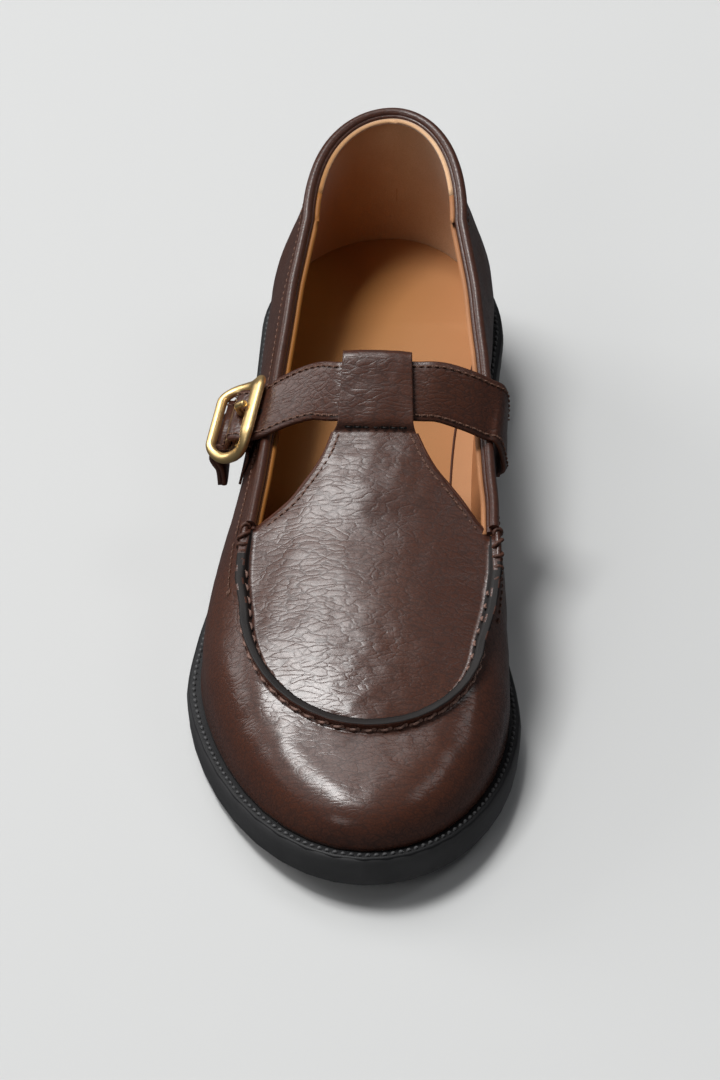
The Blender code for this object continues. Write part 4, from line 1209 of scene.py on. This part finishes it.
class SHOE_OT_seam_stitches(bpy.types.Operator):
    """Heavy stitches of the raised seam, and the fine rows beside the topline and the throat"""
    bl_idname = "shoe.seam_stitches"
    bl_label = "Seam Stitches"

    def execute(self, context):
        look = looks()
        skin = surface("upper")
        inner, outer = [], []
        for column in around_toe():
            foot = wall_point(column, 1.0)
            top_outer, top_inner, inner_foot = ridge_points(column)
            inner.append((inner_foot.lerp(top_inner, 0.45), (top_inner - top_outer).normalized()))
            outer.append((foot.lerp(top_outer, 0.25), (top_outer - top_inner).normalized()))
        sides = len(inner) // 2 - MOC_TIP
        for name, part in (("lateral", inner[MOC_CORNER:sides]), ("medial", inner[-sides:-MOC_CORNER])):
            stitches("moc_stitches_" + name, part, look.moc_pitch, 0.62, look.thread_radius * 1.8,
                     "moc_thread", 1.5, turn=24)
        stitches("moc_stitches_toe", outer[MOC_TOE:-MOC_TOE], look.moc_pitch, 0.66, look.thread_radius * 1.9,
                 "moc_thread", 1.5, turn=10)
        facing = []
        for column in around_heel(0.02):
            foot, top = wall_curve(column)[::3]
            facing.append(wall_point(column, 1.0 - TOPLINE_DROP / (top - foot).length))
        fine_stitches("topline_stitches", laid(skin, facing), 0.72)
        for side, name in SIDES.items():
            edge = set_in(throat_edge(side), THROAT_INSET, side)
            fine_stitches("throat_stitches_" + name, laid(skin, edge[1:]), 0.66, 1.5)
            rim = [point - UP * UPPER_WALL * 0.45 for point in throat_edge(side)]
            cord_piece("throat_edge_" + name, rim, UPPER_WALL * 0.42, "cut_edge")
        line = stitch_line_point()
        row = [line + Vector((TAB_HALF * k / 10, 0.0, 0.0010)) for k in range(-9, 10)]
        stitches("tab_stitches", laid(skin, row), look.stitch_pitch * 1.15, 0.6, look.thread_radius * 1.2,
                 "seam_edge", 1.7)
        return {"FINISHED"}


def ring_loft(name, rings, finishes, closed_top=False):
    """Closed skin through rings of the same size; the last one can be filled from side to side."""
    shell = bmesh.new()
    top = join_rings(shell, rings)[-1]
    size = len(top)
    if closed_top:
        for k in range(size // 2 - 1):
            shell.faces.new([top[k], top[k + 1], top[size - 2 - k], top[size - 1 - k]])
    bmesh.ops.recalc_face_normals(shell, faces=shell.faces)
    piece = mesh_piece(name, shell, finishes)
    bpy.ops.object.shade_smooth_by_angle(angle=math.radians(50))
    return piece


# Rounded side of the sole: inset from the outline at shares of its height
SideRow = namedtuple("SideRow", "inset share")
SIDE_ROWS = [SideRow(*row) for row in (
    (0.0011, 0.985), (0.0003, 0.955), (-0.0002, 0.880), (-0.0004, 0.72), (-0.0003, 0.50), (-0.0001, 0.30),
    (0.0001, 0.16), (0.0004, 0.07), (0.0010, 0.01))]


def side_wall():
    """One rounded rubber edge over the welt and the outsole."""
    rings = []
    for row in SIDE_ROWS:
        ring = []
        for column in all_round():
            x, run = sole_line(column, row.inset)
            ring.append(world(x, run, blend(outsole_bottom(run), welt_top(run) + 0.0001, row.share)))
        rings.append(ring)
    return ring_loft("sole_side_wall", rings, ["sole_rubber"])


# The sock and the layer under it: how far its medial edge stands off at the waist, its rise over the
# footbed, and the inset and height of each of its rings
Sock = namedtuple("Sock", "name stand rise rings")
SOCKS = [Sock(*row) for row in (
    ("sock_base", 0.0, 0.0, ((-0.0013, 0.0), (-0.0013, 0.0006))),
    ("sock_lining", 0.0052, 0.0005, ((0.0, 0.0), (0.0, 0.0004), (0.0005, 0.0006))))]
BASE_INSET = 0.0006
WAIST_RUN = 0.108
WAIST_REACH = 0.070
BARE_FIRST = 0.045
BARE_LAST = 0.165
BARE_FADE = 0.02


def sock_ring(sock, inset, height):
    """Points of one ring of a sock, round the inside of the wall's foot."""
    ring = []
    for column in all_round():
        run = feather_line(column)[1]
        waist = max(0.0, 1 - ((run - WAIST_RUN) / WAIST_REACH) ** 2) if column.side == MEDIAL else 0.0
        bare = min(1.0, max(0.0, min(BARE_LAST - run, run - BARE_FIRST) / BARE_FADE))
        spread = inset if sock.stand else blend(BASE_INSET, inset, bare)
        x, run = feather_line(column, UPPER_WALL + waist * sock.stand + spread)
        ring.append(world(x, run, feather_height(run) + INSOLE_THICKNESS + sock.rise + height))
    return ring


def sock_lining():
    """Leather sock on the footbed; its medial edge stands off the lining, and a cord in the dark cut-edge
    colour along it shows as a dark line: partly the sock's cut edge, partly painted shade of the gap.
    """
    for sock in SOCKS:
        rings = [sock_ring(sock, inset, height) for inset, height in sock.rings]
        settle(ring_loft(sock.name, rings, ["insole_leather"], True))
    # Dark cord along the sock's medial edge: the cut edge, darkened also as painted shade of the gap beside
    # it
    edge = rings[1][24:len(rings[1]) // 2 - 20]
    cord_piece("sock_edge_shade_line", [point - UP * 0.0002 for point in edge], 0.00042, "cut_edge")


# CAD nodes of the sole with their piece, finish and slot
SOLE_PARTS = (("outsole", "outsole_rubber", "sole_rubber", "black_rubber"),
              ("heel", "heel_rubber", "sole_rubber", "black_rubber"),
              ("welt", "welt_strip", "welt_rubber", "black_welt"),
              ("insole", "footbed", "insole_leather", "tan_insole_leather"))


class SHOE_OT_sole(bpy.types.Operator):
    """Rubber outsole and heel, the welt and the leather footbed"""
    bl_idname = "shoe.sole"
    bl_label = "Sole and Insole"

    def execute(self, context):
        for node, name, finish_name, slot in SOLE_PARTS:
            settle(refined(node, name, [finish_name], 2))
        settle(side_wall())
        sock_lining()
        return {"FINISHED"}


# The welt's row lies on the ledge: its distance from the edge, at most this share of the ledge
WELT_ROW_INSET = 0.0017
WELT_ROW_SHARE = 0.55


class SHOE_OT_welt_stitches(bpy.types.Operator):
    """Close ribs of thread along the welt, next to the upper"""
    bl_idname = "shoe.welt_stitches"
    bl_label = "Welt Stitches"

    def execute(self, context):
        look = looks()
        route = []
        for column in all_round():
            room = ledge(column.side, sole_line(column)[1]) * WELT_ROW_SHARE
            x, run = sole_line(column, min(WELT_ROW_INSET, room))
            route.append((world(x, run, welt_top(run)), UP))
        stitches("welt_stitches", route, look.welt_pitch, 0.72, look.thread_radius * 1.9, "welt_thread",
                 0, turn=12)
        return {"FINISHED"}


# The keeper's flap comes down to the quarter below a height; its inner and outer faces stay just off it
FLAP_TOP = 0.047
FLAP_FADE = 0.005
FLAP_NEAR = (0.0002, 0.0010)
# Stations along the strap: end of its doubled tail, start of its stitches, and its two spare holes
TAIL_END = 13
STITCH_START = 6
SPARE_HOLES = (50, 42)
SPARE_HOLE_RADIUS = 0.0011
STRAP_ROW_INSET = 0.0016
OVER_STRAP = 0.0012


def lay_flap(keeper):
    """Bring the lower part of the keeper down to the quarter."""
    quarter = surface("upper")
    for vertex in keeper.data.vertices:
        spot = quarter.find_nearest(vertex.co)[0]
        away = vertex.co - spot
        near = FLAP_NEAR[0] if vertex.normal.dot(away) < 0 else FLAP_NEAR[1]
        if away.length > near:
            low = min(1.0, max(0.0, (FLAP_TOP - vertex.co.z) / FLAP_FADE))
            vertex.co = spot + away * blend(1.0, near / away.length, low)


class SHOE_OT_strap(bpy.types.Operator):
    """Strap with stitched edges, its spare holes and the buckle's keeper"""
    bl_idname = "shoe.strap"
    bl_label = "Strap"

    def execute(self, context):
        piece = refined("strap", "strap_band", ["strap_leather", "cut_edge"], 1, 60.0)
        path = strap_path()
        for face in piece.data.polygons:
            place, along, across, out = min(path, key=lambda row: (row[0] - face.center).length_squared)
            if abs(face.normal.dot(across)) > 0.75:
                face.material_index = 1
        settle(piece)
        keeper = refined("buckle_keeper", "keeper_leather", ["cut_edge"], 1)
        lay_flap(keeper)
        settle(keeper)
        half = STRAP_WIDTH / 2 - 0.0004
        tail = [(place + out * (STRAP_THICKNESS / 2 + 0.0002), across * half)
                for place, along, across, out in path[:TAIL_END]]
        band_piece("tail_layer", [place + reach for place, reach in tail],
                   [place - reach for place, reach in tail], "strap_leather", 0.0016)
        skin = surface("strap")
        inset = STRAP_WIDTH / 2 - STRAP_ROW_INSET
        for name, sign in (("heel_side", -1), ("toe_side", 1)):
            row = [place + across * inset * sign + out * OVER_STRAP
                   for place, along, across, out in path[STITCH_START:]]
            fine_stitches("strap_stitches_" + name, laid(skin, row), 0.66, 1.4)
        # The spare holes are flat dark discs: painted shade of the holes
        holes = bmesh.new()
        for index in SPARE_HOLES:
            place, along, across, out = path[index]
            centre = laid(skin, [place + out * OVER_STRAP], 0.00004)[0][0]
            rim = circle(centre, along * SPARE_HOLE_RADIUS, across * SPARE_HOLE_RADIUS, 20)
            holes.faces.new([holes.verts.new(point) for point in rim])
        settle(mesh_piece("strap_holes", holes, ["hole"]))
        return {"FINISHED"}


# Width of the ring's wire on the side of the strap's tail, as a share of its width on the other side
RING_TAPER = 0.60
RING_SIDES = 20


def buckle_ring():
    """Smooth domed wire bent to a rounded frame, its long sides arched outwards."""
    centre, along, bar, out = buckle_frame()
    across = out.cross(along)
    half_x, half_y = BUCKLE_LENGTH / 2, BUCKLE_WIDTH / 2
    corner = BUCKLE_CORNER
    line = []
    for sign_x, sign_y, start in ((1, 1, 0), (-1, 1, 90), (-1, -1, 180), (1, -1, 270)):
        for k in range(13):
            angle = math.radians(start + 90 * k / 12)
            line.append((sign_x * (half_x - corner) + corner * math.cos(angle),
                         sign_y * (half_y - corner) + corner * math.sin(angle)))
        middle = (0.0, sign_y * half_y) if sign_x * sign_y > 0 else (sign_x * half_x, 0.0)
        line += [(blend(line[-1][0], middle[0], t), blend(line[-1][1], middle[1], t)) for t in (0.5, 1.0)]
    rings = []
    for i, (x, y) in enumerate(line):
        before, after = line[i - 1], line[(i + 1) % len(line)]
        aside = Vector((after[1] - before[1], before[0] - after[0], 0.0)).normalized()
        outwards = along * aside.x + across * aside.y
        wide = BUCKLE_WIRE_WIDTH * blend(1.0, RING_TAPER, (x / half_x + 1) / 2) / 2
        flat_x = x - aside.x * wide
        place = (centre + along * x + across * y - outwards * wide
                 + out * BUCKLE_ARCH * (flat_x / (half_x - BUCKLE_WIRE_WIDTH / 2)) ** 2)
        rings.append(circle(place, outwards * wide, out * BUCKLE_WIRE_THICKNESS / 2, RING_SIDES))
    return ring_loft("buckle_ring", rings + rings[:1], ["brass"])


def strap_turn():
    """Leather of the strap's turn, which fills the outer half of the ring."""
    centre, along, bar, out = buckle_frame()
    across = out.cross(along)
    half_x = BUCKLE_LENGTH / 2 - BUCKLE_WIRE_WIDTH / 2
    rows = []
    for k in range(13):
        x = blend(-0.0005, BUCKLE_LENGTH / 2 - 0.0022, k / 12)
        rows.append(centre + along * x + out * (BUCKLE_ARCH * (x / half_x) ** 2 - 0.0012))
    half = STRAP_WIDTH / 2
    inset = half - STRAP_ROW_INSET
    for name, sign in (("upper", 1), ("lower", -1)):
        edge = [(row + across * inset * sign + out * 0.00045, out) for row in rows]
        fine_stitches("turn_stitches_" + name, edge, 0.66, 1.4)
    band_piece("strap_turn", [row + across * half for row in rows],
               [row - across * half for row in rows], "strap_leather", 0.0009)


class SHOE_OT_buckle(bpy.types.Operator):
    """Domed brass buckle with its bar and prong"""
    bl_idname = "shoe.buckle"
    bl_label = "Buckle"

    def execute(self, context):
        ring = buckle_ring()
        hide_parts("buckle_frame")
        settle(ring)
        strap_turn()
        for node, name in (("buckle_bar", "buckle_pin"), ("prong", "buckle_prong")):
            settle(refined(node, name, ["brass"], 1, 50.0))
        return {"FINISHED"}


# Coil of thread over each corner: its radius, its turns and its points in a turn
KNOT_RADIUS = 0.0014
KNOT_TURNS = 5
KNOT_STEPS = 14


class SHOE_OT_corners(bpy.types.Operator):
    """Thread-wrapped knots at the opening's corners and the bar tacks beside them"""
    bl_idname = "shoe.corners"
    bl_label = "Corner Knots"

    def execute(self, context):
        look = looks()
        skin = surface("upper")
        for side, name in SIDES.items():
            spots = [Column(side, "rear", 0.985 + 0.005 * k) for k in range(3)]
            spots += [Column(side, "front", 0.05 * k) for k in range(1, 10)]
            core = [wall_point(spot, 1.0) + top_direction(spot) * 0.0006 for spot in spots]
            cord_piece("corner_core_" + name, core, KNOT_RADIUS * 0.7, "binding_leather")
            coil = []
            for k in range(KNOT_TURNS * KNOT_STEPS + 1):
                share = k / (KNOT_TURNS * KNOT_STEPS)
                index = min(int(share * (len(core) - 1)), len(core) - 2)
                spot = core[index].lerp(core[index + 1], share * (len(core) - 1) - index)
                along = (core[index + 1] - core[index]).normalized()
                side_way = along.orthogonal().normalized()
                up_way = along.cross(side_way)
                angle = math.tau * k / KNOT_STEPS
                wide = KNOT_RADIUS * (1 - 0.25 * (2 * share - 1) ** 2 + 0.12 * math.sin(share * 23))
                coil.append(spot + (side_way * math.cos(angle) + up_way * math.sin(angle)) * wide
                            + along * 0.0005 * math.sin(angle + share * 9))
            cord_piece("corner_knot_" + name, coil, look.thread_radius * 2.3, "knot_thread", resolution=2)
            beside = [wall_point(Column(side, "front", 0.06 * k), 0.885) for k in range(11)]
            fine_stitches("overlay_stitches_" + name, laid(skin, beside), 0.62)
            tack = [wall_point(Column(side, "front", 0.66), t) for t in (0.865, 0.885, 0.905)]
            stitches("bar_tack_" + name, laid(skin, tack), 0.0006, 3.2, look.thread_radius, "thread", 0,
                     turn=86)
        return {"FINISHED"}


# Stage: lamps with their place, width and power, and the camera's place over the floor
Lamp = namedtuple("Lamp", "name place size power tint")
LAMPS = [Lamp(*row) for row in (
    ("window", (-1.16, 0.50, 3.7), 1.15, 119.0, (1.0, 1.0, 0.99)),
    ("overhead", (-0.60, 1.90, 3.3), 1.6, 24.0, (1.0, 1.0, 1.0)),
    ("key", (-2.6, 0.10, 2.7), 2.4, 13.0, (1.0, 0.995, 0.985)),
    ("side", (-3.0, 1.5, 1.6), 1.6, 30.0, (1.0, 0.99, 0.98)),
    ("strip", (2.15, 0.30, 3.35), 1.0, 7.0, (0.97, 0.99, 1.0)),
    ("front", (-1.7, -2.6, 2.2), 1.4, 12.0, (1.0, 0.99, 0.98)))]
LAMP_AIM = Vector((0.0, 0.0, 0.02))
CAMERA_FOOT = Vector((0.0521, 0.060, 0.0))
CAMERA_AIM = Vector((0.0, -0.004, 0.024))
CAMERA_RISE = math.radians(42)
CAMERA_REACH = 2.2
CAMERA_LENS = 240.0
FLOOR_COLOUR = (0.628, 0.633, 0.633, 1.0)
SKY_COLOUR = (0.93, 0.95, 1.0, 1.0)
SKY_STRENGTH = 0.08


def aimed(item, target):
    """Turn a lamp or a camera towards a target."""
    item.rotation_euler = (target - item.location).to_track_quat("-Z", "Y").to_euler()
    return item


def area_light(lamp):
    """Square lamp that shines on the shoe."""
    bpy.ops.object.light_add(type="AREA", location=lamp.place)
    made = bpy.context.object
    made.name = lamp.name
    made.data.size = lamp.size
    made.data.energy = lamp.power
    made.data.color = lamp.tint
    return aimed(made, LAMP_AIM)


class SHOE_OT_stage(bpy.types.Operator):
    """Pale floor, soft studio light and the photo's camera"""
    bl_idname = "shoe.stage"
    bl_label = "Stage"

    def execute(self, context):
        bpy.ops.mesh.primitive_plane_add(size=8.0, location=(0.0, 0.0, 0.0))
        floor = bpy.context.object
        floor.name = "floor"
        floor.visible_glossy = False
        made, tree, shader, place = shader_tree("floor", 0.9)
        shader.inputs["Base Color"].default_value = FLOOR_COLOUR
        shader.inputs["Specular IOR Level"].default_value = 0.1
        floor.data.materials.append(made)
        lamps = [area_light(lamp) for lamp in LAMPS]
        world_light = bpy.data.worlds.new("studio")
        world_light.use_nodes = True
        back = world_light.node_tree.nodes["Background"]
        back.inputs["Color"].default_value = SKY_COLOUR
        back.inputs["Strength"].default_value = SKY_STRENGTH
        context.scene.world = world_light
        away = Vector((0.0, -math.cos(CAMERA_RISE), math.sin(CAMERA_RISE)))
        bpy.ops.object.camera_add(location=CAMERA_FOOT + away * CAMERA_REACH)
        camera = aimed(bpy.context.object, CAMERA_AIM)
        camera.name = "camera"
        camera.data.sensor_fit = "VERTICAL"
        camera.data.sensor_height = 36.0
        camera.data.lens = CAMERA_LENS
        context.scene.camera = camera
        context.scene.view_settings.view_transform = "Standard"
        return {"FINISHED"}


OPERATORS = (SHOE_OT_upper, SHOE_OT_lining_edges, SHOE_OT_binding, SHOE_OT_seam_stitches, SHOE_OT_sole,
             SHOE_OT_welt_stitches, SHOE_OT_strap, SHOE_OT_buckle, SHOE_OT_corners, SHOE_OT_stage)


class SHOE_PT_panel(bpy.types.Panel):
    """Buttons and settings of the shoe's dressing"""
    bl_idname = "SHOE_PT_panel"
    bl_label = "Mary Jane Shoe"
    bl_space_type = "VIEW_3D"
    bl_region_type = "UI"
    bl_category = "Shoe"

    def draw(self, context):
        for item in OPERATORS:
            self.layout.operator(item.bl_idname, text=item.bl_label)
        for name in ShoeLooks.__annotations__:
            self.layout.prop(context.scene.shoe_looks, name)


def register():
    for item in (ShoeLooks, *OPERATORS, SHOE_PT_panel):
        bpy.utils.register_class(item)
    bpy.types.Scene.shoe_looks = PointerProperty(type=ShoeLooks)


def unregister():
    del bpy.types.Scene.shoe_looks
    for item in (SHOE_PT_panel, *OPERATORS[::-1], ShoeLooks):
        bpy.utils.unregister_class(item)


def main():
    register()
    bpy.ops.shoe.upper()
    bpy.ops.shoe.lining_edges()
    bpy.ops.shoe.binding()
    bpy.ops.shoe.seam_stitches()
    bpy.ops.shoe.sole()
    bpy.ops.shoe.welt_stitches()
    bpy.ops.shoe.strap()
    bpy.ops.shoe.buckle()
    bpy.ops.shoe.corners()
    bpy.ops.shoe.stage()


if __name__ == "__main__":
    main()
